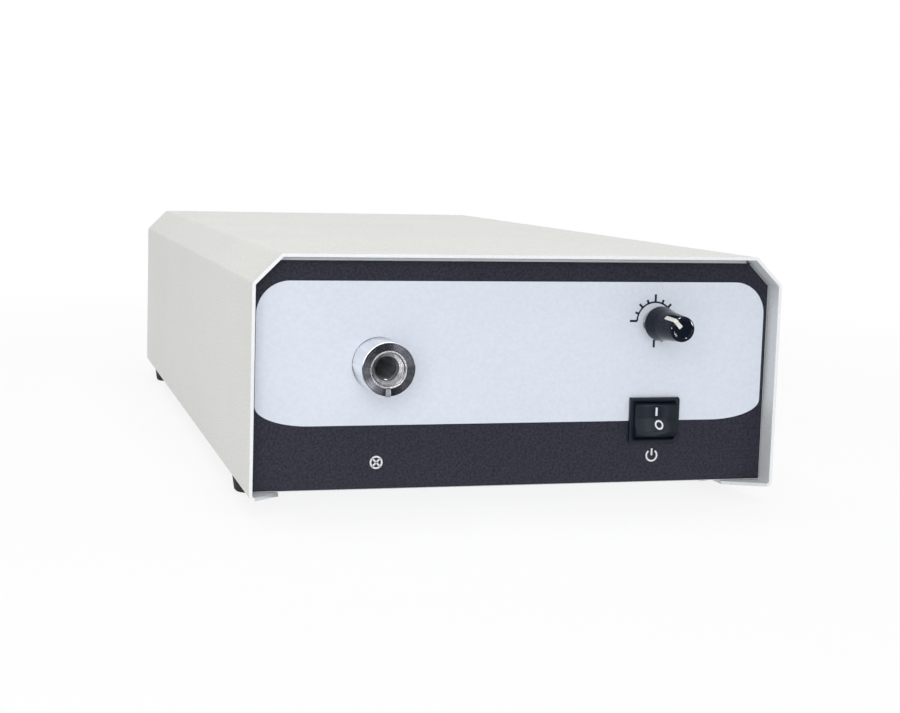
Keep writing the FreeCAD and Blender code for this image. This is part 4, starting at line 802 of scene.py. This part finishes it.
def flat_print(name, shapes, front, thickness):
    """A print that stands upright at y = front. Each shape is a list of outlines, holes among them."""
    sheet = bmesh.new()
    for outlines in shapes:
        curve = bpy.data.curves.new(name, "CURVE")
        curve.dimensions = "2D"
        curve.fill_mode = "BOTH"
        curve.extrude = thickness / 2
        for outline in outlines:
            spline = curve.splines.new("POLY")
            spline.points.add(len(outline) - 1)
            for point, (x, z) in zip(spline.points, outline):
                point.co = (x, z, 0, 1)
            spline.use_cyclic_u = True
        holder = bpy.data.objects.new(name, curve)
        sheet.from_mesh(bpy.data.meshes.new_from_object(holder))
        bpy.data.objects.remove(holder)
    bmesh.ops.remove_doubles(sheet, verts=sheet.verts, dist=PRINT_MERGE)
    placed = Matrix.Translation((0, front + thickness / 2, 0)) @ UPRIGHT
    bmesh.ops.transform(sheet, matrix=placed, verts=sheet.verts)
    bmesh.ops.recalc_face_normals(sheet, faces=sheet.faces)
    return add_object(name, mesh_from(sheet, name))


print("the helper for prints is ready")


# %% [markdown]
# **The white field.** It fills most of the label. Its upper corners are quarter circles and its lower
# ones are long flat quarter ellipses. It could be a mask in the film's material, but a sheet of its
# own keeps a sharp edge at any distance. It is cut out round the port, the dial's bush and the
# switch, which stand on the film.

# %% White field
PRINT_THICKNESS = 0.00004
FIELD_LEFT = -0.1217
FIELD_RIGHT = 0.1210
FIELD_BOTTOM = 0.0391
FIELD_TOP = 0.1040
FIELD_TOP_CORNER = (0.0150, 0.0150)
FIELD_LOW_CORNER = (0.0248, 0.0092)
BUSH_CLEARANCE = 0.00003


def round_place(node):
    """The middle of a round node as seen from the front, and its radius."""
    low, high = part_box(node)
    return (low.x + high.x) / 2, (low.z + high.z) / 2, (high.x - low.x) / 2


def print_on_label(name, shapes, ink):
    piece = flat_print(name, shapes, label_front - PRINT_THICKNESS, PRINT_THICKNESS)
    finish_piece(piece, ink, "housing")


label_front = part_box("front_label")[0].y
port_x, port_z, port_radius = round_place("port_body")
dial_x, dial_z = round_place("dimmer_knob")[:2]
washer_radius = round_place("pot_washer")[2]
bezel_low, bezel_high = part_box("switch_housing")

top_wide, top_tall = FIELD_TOP_CORNER
low_wide, low_tall = FIELD_LOW_CORNER
top_centre = FIELD_TOP - top_tall
low_centre = FIELD_BOTTOM + low_tall
bezel_notch = [
    (bezel_low.x, FIELD_BOTTOM),
    (bezel_low.x, bezel_high.z),
    (bezel_high.x, bezel_high.z),
    (bezel_high.x, FIELD_BOTTOM),
]
field_outline = (
    corner_points((FIELD_RIGHT - top_wide, top_centre), FIELD_TOP_CORNER, 0)
    + corner_points((FIELD_LEFT + top_wide, top_centre), FIELD_TOP_CORNER, 1)
    + corner_points((FIELD_LEFT + low_wide, low_centre), FIELD_LOW_CORNER, 2)
    + bezel_notch
    + corner_points((FIELD_RIGHT - low_wide, low_centre), FIELD_LOW_CORNER, 3)
)
port_hole = round_points((port_x, port_z), port_radius + BUSH_CLEARANCE)
dial_hole = round_points((dial_x, dial_z), washer_radius + BUSH_CLEARANCE)
print_on_label("label_field", [[field_outline, port_hole, dial_hole]], "field_ink")


# %% [markdown]
# ## The dial
#
# The dial is an arc with ticks every 22.5 degrees, from nine o'clock over twelve to six o'clock. Each
# fourth tick is long and each second one medium. That is a rule, so Geometry Nodes make it: a row of
# points becomes ticks, whose index gives the angle and the length. The inputs are the sizes, so the
# same tree could make any dial.

# %% Geometry Nodes helpers
GEOMETRY = "NodeSocketGeometry"
MATERIAL = "NodeSocketMaterial"
INTEGER = "NodeSocketInt"


def new_geometry_tree(name, inputs):
    tree, given, result = new_group(name, inputs, {"Geometry": GEOMETRY}, "GeometryNodeTree")
    tree.is_modifier = True
    return tree, given, result


def move(tree, geometry, place=(0, 0, 0), turn=(0, 0, 0), size=(1, 1, 1)):
    """Adds a Transform Geometry node and returns its geometry."""
    inputs = {"Geometry": geometry, "Translation": place, "Rotation": turn, "Scale": size}
    return put(tree, "GeometryNodeTransform", inputs).outputs[0]


def join(tree, first, second):
    """Adds a Join Geometry node and returns its geometry."""
    both = put(tree, "GeometryNodeJoinGeometry")
    link(first, both.inputs[0])
    link(second, both.inputs[0])
    return both.outputs[0]


def when(tree, test, no, yes):
    """Adds a Switch node between two numbers and returns its result."""
    inputs = {"Switch": test, "False": no, "True": yes}
    return put(tree, "GeometryNodeSwitch", inputs, input_type="FLOAT").outputs[0]


def hand_out(tree, geometry, material, result):
    """Ends a tree: its instances become real faces, in one material."""
    real = put(tree, "GeometryNodeRealizeInstances", {"Geometry": geometry})
    dressed = put(tree, "GeometryNodeSetMaterial", {"Geometry": real.outputs[0], "Material": material})
    link(dressed.outputs[0], result["Geometry"])


def grow(name, tree, inputs, mesh=None):
    """Runs a tree on a new piece and keeps the result as a plain mesh."""
    piece = add_object(name, mesh or bpy.data.meshes.new(name))
    modifier = piece.modifiers.new("grow", "NODES")
    modifier.node_group = tree
    for socket in tree.interface.items_tree:
        if socket.name in inputs:
            modifier[socket.identifier] = inputs[socket.name]
    keep_result(piece)
    return piece


print("helpers for Geometry Nodes are ready")


# %% Dial tree: its sizes
tree, given, result = new_geometry_tree(
    "dial scale",
    {
        "Arc Radius": (FLOAT, 0.009),
        "Arc Width": (FLOAT, 0.0005),
        "Tick Width": (FLOAT, 0.0007),
        "Long Tick": (FLOAT, 0.004),
        "Medium Tick": (FLOAT, 0.003),
        "Short Tick": (FLOAT, 0.002),
        "Tick Count": (INTEGER, 13),
        "Sweep": (FLOAT, 4.7),
        "Thickness": (FLOAT, 0.0001),
        "Place": (VECTOR, (0, 0, 0)),
        "Ink": (MATERIAL, None),
    },
)
dial_tree = tree
print("started the tree", dial_tree.name)


# %% Dial tree: the ticks
index = put(tree, "GeometryNodeInputIndex").outputs[0]
last = math_node(tree, "SUBTRACT", given["Tick Count"], 1.0)
share = math_node(tree, "DIVIDE", index, last)
turned_by = times(tree, share, given["Sweep"])
angle = math_node(tree, "SUBTRACT", math.pi, turned_by)

is_long = math_node(tree, "LESS_THAN", math_node(tree, "MODULO", index, 4.0), 0.5)
is_medium = math_node(tree, "LESS_THAN", math_node(tree, "MODULO", index, 2.0), 0.5)
small = when(tree, is_medium, given["Short Tick"], given["Medium Tick"])
length = when(tree, is_long, small, given["Long Tick"])

reach = math_node(tree, "ADD", given["Arc Radius"], math_node(tree, "DIVIDE", length, 2.0))
x = times(tree, math_node(tree, "COSINE", angle), reach)
y = times(tree, math_node(tree, "SINE", angle), reach)
spot = combine(tree, x, y)
points = put(tree, "GeometryNodePoints", {"Count": given["Tick Count"], "Position": spot})
bar = put(tree, "GeometryNodeMeshCube", {"Size": (1, 1, 1)})
ticks = put(
    tree,
    "GeometryNodeInstanceOnPoints",
    {
        "Points": points.outputs[0],
        "Instance": bar.outputs["Mesh"],
        "Rotation": combine(tree, z=angle),
        "Scale": combine(tree, length, given["Tick Width"], given["Thickness"]),
    },
)
print("with the ticks it has", len(dial_tree.nodes), "nodes")


# %% Dial tree: the arc
ARC_POINTS = 90

arc = put(
    tree,
    "GeometryNodeCurveArc",
    {
        "Resolution": ARC_POINTS,
        "Radius": given["Arc Radius"],
        "Start Angle": math_node(tree, "SUBTRACT", math.pi, given["Sweep"]),
        "Sweep Angle": given["Sweep"],
    },
)
section = put(
    tree,
    "GeometryNodeCurvePrimitiveQuadrilateral",
    {"Width": given["Arc Width"], "Height": given["Thickness"]},
)
band = put(
    tree,
    "GeometryNodeCurveToMesh",
    {"Curve": arc.outputs["Curve"], "Profile Curve": section.outputs["Curve"], "Fill Caps": True},
)
both = join(tree, ticks.outputs["Instances"], band.outputs["Mesh"])
hand_out(tree, move(tree, both, given["Place"], (math.pi / 2, 0, 0)), given["Ink"], result)
print("with the arc it has", len(dial_tree.nodes), "nodes")


# %% Dial scale
DIAL_LIFT = 0.0005

# The ticks lie on the white field, so their middle is one and a half thicknesses before the film.
dial_middle = (dial_x, label_front - PRINT_THICKNESS * 1.5, dial_z + DIAL_LIFT)
dial_scale = grow(
    "dial_scale",
    dial_tree,
    {
        "Arc Radius": 0.0088,
        "Arc Width": 0.0008,
        "Tick Width": 0.00105,
        "Long Tick": 0.0036,
        "Medium Tick": 0.0023,
        "Short Tick": 0.0018,
        "Tick Count": 13,
        "Sweep": math.radians(270),
        "Thickness": PRINT_THICKNESS,
        "Place": dial_middle,
        "Ink": finishes["dial_ink"],
    },
)
finish_piece(dial_scale, "dial_ink", "housing")


# %% [markdown]
# ## Marks
#
# Two white signs are printed on the charcoal: a lamp, a ring with a cross in it, under the port, and
# the usual sign for mains power, an open ring with a bar, under the switch. Both are generic.

# %% Signs on the label
SIGN_RADIUS = 0.0030
SIGN_LINE = 0.0008
PORT_SIGN_HEIGHT = 0.02215
SWITCH_SIGN_HEIGHT = 0.0225
POWER_GAP = math.radians(38)
POWER_STEPS = 48
POWER_BAR_RISE = 0.55
POWER_BAR_LENGTH = 1.1


def ring_points(centre, radius, line):
    """The two outlines of a ring, from its outer radius and the width of its line."""
    return [round_points(centre, radius), round_points(centre, radius - line)]


def open_ring(centre, radius, line):
    """The outline of a ring that is open at its top."""
    start = math.pi / 2 + POWER_GAP
    sweep = math.tau - 2 * POWER_GAP
    turns = [start + sweep * step / POWER_STEPS for step in range(POWER_STEPS + 1)]
    outer = on_ellipse(centre, radius, radius, turns)
    inner = on_ellipse(centre, radius - line, radius - line, turns)
    return outer + inner[::-1]


port_sign_centre = (port_x, PORT_SIGN_HEIGHT)
bar_length = 2 * SIGN_RADIUS - SIGN_LINE
lamp_sign = [
    ring_points(port_sign_centre, SIGN_RADIUS, SIGN_LINE),
    [box_points(port_sign_centre, bar_length, SIGN_LINE, math.radians(45))],
    [box_points(port_sign_centre, bar_length, SIGN_LINE, math.radians(-45))],
]
print_on_label("port_sign", lamp_sign, "mark_ink")

switch_x = (bezel_low.x + bezel_high.x) / 2
power_bar_centre = (switch_x, SWITCH_SIGN_HEIGHT + SIGN_RADIUS * POWER_BAR_RISE)
power_sign = [
    [open_ring((switch_x, SWITCH_SIGN_HEIGHT), SIGN_RADIUS, SIGN_LINE)],
    [box_points(power_bar_centre, SIGN_LINE, SIGN_RADIUS * POWER_BAR_LENGTH)],
]
print_on_label("switch_sign", power_sign, "mark_ink")


# %% [markdown]
# **On the rocker.** The bar is on its upper face and the ring on its lower one. The two faces slope, so
# each point of a flat sign is moved along a ray from the front until it meets the rocker.

# %% Rocker marks
BAR_HEIGHT = 0.0039
BAR_WIDTH = 0.0010
BAR_ABOVE = 0.0044
RING_RADIUS = 0.00210
RING_LINE = 0.00080
RING_ASIDE = 0.0009
RING_BELOW = 0.0016
MARK_PROUD = 0.00003
MARK_SUNK = 0.00003
RAY_RUN_UP = 0.01

rocker_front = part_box("switch_rocker")[0].y
rocker_z = (bezel_low.z + bezel_high.z) / 2
bar_centre = (switch_x, rocker_z + BAR_ABOVE)
ring_centre = (switch_x + RING_ASIDE, rocker_z - RING_BELOW)
mark_shapes = [
    [box_points(bar_centre, BAR_WIDTH, BAR_HEIGHT)],
    ring_points(ring_centre, RING_RADIUS, RING_LINE),
]
rocker_marks = flat_print("rocker_marks", mark_shapes, -MARK_PROUD, MARK_PROUD + MARK_SUNK)
rocker_mesh = nodes["switch_rocker"].data
rocker_surface = BVHTree.FromPolygons(
    [v.co for v in rocker_mesh.vertices], [p.vertices for p in rocker_mesh.polygons]
)
for vertex in rocker_marks.data.vertices:
    start = Vector((vertex.co.x, rocker_front - RAY_RUN_UP, vertex.co.z))
    met = rocker_surface.ray_cast(start, Vector((0, 1, 0)))[0]
    vertex.co.y += met.y
finish_piece(rocker_marks, "mark_ink", "rocker")


# %% [markdown]
# ## Screws
#
# The construction model has plain heads. The real ones are pan heads with a cross recess: a dome cut
# off by a drum, with two crossed bars cut out of it. Geometry Nodes make one screw from its sizes and
# set it on every point of a small mesh, each turned by its own random angle, as screws end up when
# they are tightened. The points come from the frame: each screw of a node is an island of its mesh.
# A boolean leaves slivers where two faces share a plane, so the dome sinks a little below the drum's
# base, and one bar of the recess goes deeper than the other.

# %% Screw tree: its sizes and the head
DOME_WIDTH = 1.16
DOME_SINK = 0.07
HEAD_SIDES = 32


def solid(tree, kind, inputs):
    """Adds a node that makes a plain solid, and returns its mesh."""
    return put(tree, "GeometryNodeMesh" + kind, inputs).outputs["Mesh"]


tree, given, result = new_geometry_tree(
    "cross recess screw",
    {
        "Geometry": (GEOMETRY, None),
        "Head Radius": (FLOAT, 0.004),
        "Head Height": (FLOAT, 0.0026),
        "Shank Radius": (FLOAT, 0.002),
        "Shank Length": (FLOAT, 0.01),
        "Facing": (VECTOR, (0, 0, 0)),
        "Seed": (INTEGER, 1),
        "Metal": (MATERIAL, None),
    },
)
radius = given["Head Radius"]
height = given["Head Height"]
wide = times(tree, radius, DOME_WIDTH)
sunk = times(tree, height, -DOME_SINK)
ball = solid(tree, "UVSphere", {"Segments": HEAD_SIDES, "Rings": HEAD_SIDES // 2, "Radius": 1.0})
dome_size = combine(tree, wide, wide, math_node(tree, "SUBTRACT", height, sunk))
dome = move(tree, ball, combine(tree, z=sunk), size=dome_size)
drum = solid(tree, "Cylinder", {"Vertices": HEAD_SIDES, "Radius": radius, "Depth": height})
raised = move(tree, drum, combine(tree, z=math_node(tree, "DIVIDE", height, 2.0)))
head = put(tree, "GeometryNodeMeshBoolean", operation="INTERSECT")
link(dome, head.inputs["Mesh 2"])
link(raised, head.inputs["Mesh 2"])
screw_tree = tree
print("started the tree", screw_tree.name, "with", len(screw_tree.nodes), "nodes")


# %% Screw tree: the recess and the shank
RECESS_LENGTH = 1.1
RECESS_WIDTH = 0.24
RECESS_BARS = ((0.0, 1.2), (math.pi / 2, 1.28))
SHANK_SIDES = 20

top = combine(tree, z=height)
cube = solid(tree, "Cube", {"Size": (1, 1, 1)})
bar_length = times(tree, radius, RECESS_LENGTH)
bar_width = times(tree, radius, RECESS_WIDTH)
cut = head.outputs["Mesh"]
for quarter, depth in RECESS_BARS:
    bar_size = combine(tree, bar_length, bar_width, times(tree, height, depth))
    carved = put(tree, "GeometryNodeMeshBoolean", {"Mesh 1": cut}, operation="DIFFERENCE")
    link(move(tree, cube, top, (0, 0, quarter), bar_size), carved.inputs["Mesh 2"])
    cut = carved.outputs["Mesh"]

shank_sizes = {"Vertices": SHANK_SIDES, "Radius": given["Shank Radius"], "Depth": given["Shank Length"]}
below = combine(tree, z=times(tree, given["Shank Length"], -0.5))
screw = join(tree, move(tree, solid(tree, "Cylinder", shank_sizes), below), cut)
print("with one whole screw it has", len(screw_tree.nodes), "nodes")


# %% Screw tree: a screw on each point
placed = put(
    tree,
    "GeometryNodeInstanceOnPoints",
    {"Points": given["Geometry"], "Instance": screw, "Rotation": given["Facing"]},
)
spin = put(
    tree,
    "FunctionNodeRandomValue",
    {"Min": (0, 0, 0), "Max": (0, 0, math.pi), "Seed": given["Seed"]},
    data_type="FLOAT_VECTOR",
)
spun = put(
    tree,
    "GeometryNodeRotateInstances",
    {"Instances": placed.outputs[0], "Rotation": spin.outputs["Value"], "Local Space": True},
)
hand_out(tree, spun.outputs[0], given["Metal"], result)
print("with the places it has", len(screw_tree.nodes), "nodes")


# %% Find the screws
def islands(node):
    """The lowest and highest corners of each separate solid in a node."""
    shape = merged_shape(node)
    left = set(shape.verts)
    boxes = []
    while left:
        waiting = [left.pop()]
        corners = []
        while waiting:
            vertex = waiting.pop()
            corners.append(vertex.co.copy())
            for edge in vertex.link_edges:
                other = edge.other_vert(vertex)
                if other in left:
                    left.remove(other)
                    waiting.append(other)
        low = Vector(min(c[i] for c in corners) for i in range(3))
        high = Vector(max(c[i] for c in corners) for i in range(3))
        boxes.append((low, high))
    shape.free()
    return sorted(boxes, key=lambda box: tuple(box[0]))


print("the rear panel has", len(islands("rear_panel_screws")), "screws")


# %% Screws in place
FACING_BACK = (-math.pi / 2, 0, 0)
FACING_DOWN = (math.pi, 0, 0)

# The head's height and the shank's radius of each size of screw.
M3 = (0.0020, 0.00145)
M4 = (0.0026, 0.00195)
SCREWS = [
    ("rear_panel_screws", M4, FACING_BACK),
    ("fan_screws", M4, FACING_BACK),
    ("inlet_screws", M3, FACING_BACK),
    ("foot_screws", M4, FACING_DOWN),
    ("bracket_screws", M4, FACING_DOWN),
]


def cross_screws(node, size, facing, seed):
    """Screws with a cross recess, which stand for a node's plain ones."""
    head_height, shank_radius = size
    boxes = islands(node)
    spots = []
    for low, high in boxes:
        middle = (low + high) / 2
        if facing is FACING_BACK:
            spots.append((middle.x, high.y - head_height, middle.z))
        else:
            spots.append((middle.x, middle.y, low.z + head_height))
    low, high = boxes[0]
    points = bpy.data.meshes.new(node + "_heads")
    points.from_pydata(spots, [], [])
    piece = grow(
        node + "_cross",
        screw_tree,
        {
            "Head Radius": (high.x - low.x) / 2,
            "Head Height": head_height,
            "Shank Radius": shank_radius,
            "Shank Length": max(high.y - low.y, high.z - low.z) - head_height,
            "Facing": facing,
            "Seed": seed,
            "Metal": finishes["screw_steel"],
        },
        points,
    )
    finish_piece(piece, "screw_steel", "housing")
    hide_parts(node)


for seed, (node, size, facing) in enumerate(SCREWS, start=1):
    cross_screws(node, size, facing, seed)


# %% [markdown]
# ## Floor and light
#
# The floor is a plain pale disc and the world a pale room. For the camera, and in reflections, both
# are mixed towards plain white, so that the object stands on a white ground. Near the object the
# floor keeps part of its shading, which is the shadow, and further off it turns all white, so that
# no horizon shows.

# %% Studio helpers
def plain_paint(name, colour, roughness, specular):
    """A plain dull material for the studio, and its shader."""
    material = bpy.data.materials.new(name)
    material.use_nodes = True
    shader = material.node_tree.nodes["Principled BSDF"]
    shader.inputs["Base Color"].default_value = (*colour, 1)
    shader.inputs["Roughness"].default_value = roughness
    shader.inputs["Specular IOR Level"].default_value = specular
    return material, shader


def seen_directly(tree):
    """One for rays from the camera, and for reflected and refracted rays."""
    path = put(tree, "ShaderNodeLightPath").outputs
    either = math_node(tree, "MAXIMUM", path["Is Camera Ray"], path["Is Glossy Ray"])
    return math_node(tree, "MAXIMUM", either, path["Is Transmission Ray"])


def show_white(tree, share, lit, white, output):
    """Mixes a lit shader with a plain white one, and shows the result."""
    mix = put(tree, "ShaderNodeMixShader", {0: share, 1: lit.outputs[0], 2: white.outputs[0]})
    link(mix.outputs[0], tree.nodes[output].inputs["Surface"])


print("helpers for the studio are ready")


# %% Floor
FLOOR_RADIUS = 6.0
FLOOR_DROP = 0.0002
FLOOR_WHITE = (0.97, 0.97, 0.97)
SHADOW_KEPT = 0.17
SHADOW_NEAR = 0.25
SHADOW_FAR = 1.0

floor_paint, floor_shader = plain_paint("floor_paint", FLOOR_WHITE, 0.9, 0.1)
floor_tree = floor_paint.node_tree
floor_glow = put(floor_tree, "ShaderNodeEmission", {"Color": (1, 1, 1, 1), "Strength": 1.0})
floor_distance = length_of(floor_tree, put(floor_tree, "ShaderNodeTexCoord").outputs["Object"])
white_span = (1 - SHADOW_KEPT, 1.0)
floor_white = spread(floor_tree, floor_distance, (SHADOW_NEAR, SHADOW_FAR), white_span, smooth=True)
floor_share = times(floor_tree, seen_directly(floor_tree), floor_white)
show_white(floor_tree, floor_share, floor_shader, floor_glow, "Material Output")

floor_shape = bmesh.new()
bmesh.ops.create_circle(floor_shape, cap_ends=True, radius=FLOOR_RADIUS, segments=96)
floor = add_object("floor", mesh_from(floor_shape, "floor"))
floor.data.materials.append(floor_paint)
floor.location.z = -FLOOR_DROP
print("floor of", FLOOR_RADIUS, "m")


# %% World
ROOM_LIGHT = 0.5
ROOM_COLOUR = (0.97, 0.985, 1, 1)

world = bpy.data.worlds.new("room")
bpy.context.scene.world = world
world.use_nodes = True
room = world.node_tree
room_light = room.nodes["Background"]
room_light.inputs["Color"].default_value = ROOM_COLOUR
room_light.inputs["Strength"].default_value = ROOM_LIGHT
room_white = put(room, "ShaderNodeBackground", {"Color": (1, 1, 1, 1), "Strength": 1.0})
show_white(room, seen_directly(room), room_light, room_white, "World Output")
bpy.context.scene.view_settings.view_transform = "Standard"
print("a room of", ROOM_LIGHT, "that looks white")


# %% [markdown]
# **Soft boxes.** A sun or a point lamp is simpler, but throws a hard shadow and a hard highlight. Large
# area lamps do what a studio's soft boxes do: one in front, a wide one above, and a weak one at the
# side, whose powers are low enough that each finish shows about the colour it is given.

# %% Lamps
# Each lamp has a place, a target, a size and a power in watts.
LAMPS = {
    "front": ((-0.4, -1.3, 0.40), (0, -0.2, 0.06), (0.9, 0.7), 5.6),
    "top": ((0.0, -0.1, 2.0), (0, 0, 0.1), (1.8, 1.8), 15.5),
    "side": ((-2.0, 0.1, 0.8), (-0.1, 0, 0.06), (1.4, 1.0), 1.5),
}


def soft_box(name, place, target, size, watts):
    """A square lamp that faces a target. The camera doesn't see it, and glossy surfaces do."""
    lamp = bpy.data.lights.new(name, "AREA")
    lamp.shape = "RECTANGLE"
    lamp.size, lamp.size_y = size
    lamp.energy = watts
    holder = add_object(name, lamp)
    holder.location = place
    holder.rotation_euler = (Vector(target) - Vector(place)).to_track_quat("-Z", "Y").to_euler()
    holder.visible_camera = False
    return holder


for name, (place, target, size, watts) in LAMPS.items():
    soft_box(name, place, target, size, watts)
print(len(LAMPS), "soft boxes")


# %% [markdown]
# **Glints.** Small bright lamps make the sharp spots on the knob's rounded rims, and weaker ones make
# the port's mouth sparkle. They would leave spots on the paint as well, so light linking gives each
# set a collection of pieces that receive it.

# %% Glints
GLINTS = {"left": (-1.1, -0.75, 0.12), "above": (0.15, -0.8, 1.0), "right": (0.9, -1.0, 0.2)}
GLINT_SIZE = (0.2, 0.2)
KNOB_WATTS = 45.0
PORT_WATTS = 11.0


def add_glints(title, lit, watts):
    """A set of glints that light only the named pieces."""
    receivers = bpy.data.collections.new(title + " receivers")
    for node in lit:
        receivers.objects.link(smooth_pieces[node])
    for side, place in GLINTS.items():
        glint = soft_box(title + "_" + side, place, (dial_x, label_front, dial_z), GLINT_SIZE, watts)
        glint.visible_diffuse = False
        glint.light_linking.receiver_collection = receivers


add_glints("knob_glints", ["dimmer_knob", "detent_ball"], KNOB_WATTS)
add_glints("port_glints", ["port_sleeve"], PORT_WATTS)


# %% [markdown]
# **Dark cards.** In a white room a black knob and a polished port reflect white all over and look
# grey. In a studio, dark cards are stood in front. Here they are seen by reflections only, so they
# shade nothing: one stands behind the camera and one lies on the floor in front.

# %% Dark cards
CARD_BLACK = (0.02, 0.02, 0.022)
CARD_SIDE = 2.6
CARD_BACK = -2.4
CARD_FRONT = -0.34
CARD_TOP = 0.6
CARD_LIFT = 0.001

card_paint = plain_paint("card_paint", CARD_BLACK, 1.0, 0.0)[0]


def dark_card(name, near, far):
    """A card from one edge, given as (y, z), to another. Only reflections see it."""
    mesh = bpy.data.meshes.new(name)
    corners = [(-CARD_SIDE, *near), (CARD_SIDE, *near), (CARD_SIDE, *far), (-CARD_SIDE, *far)]
    mesh.from_pydata(corners, [], [range(len(corners))])
    mesh.materials.append(card_paint)
    card = add_object(name, mesh)
    for ray in ("camera", "diffuse", "transmission", "shadow"):
        setattr(card, "visible_" + ray, False)


dark_card("card_behind", (CARD_BACK, 0.0), (CARD_BACK, CARD_TOP))
dark_card("card_floor", (CARD_BACK, CARD_LIFT), (CARD_FRONT, CARD_LIFT))
print("two dark cards")


# %% [markdown]
# ## Last
#


print("the looks are done")
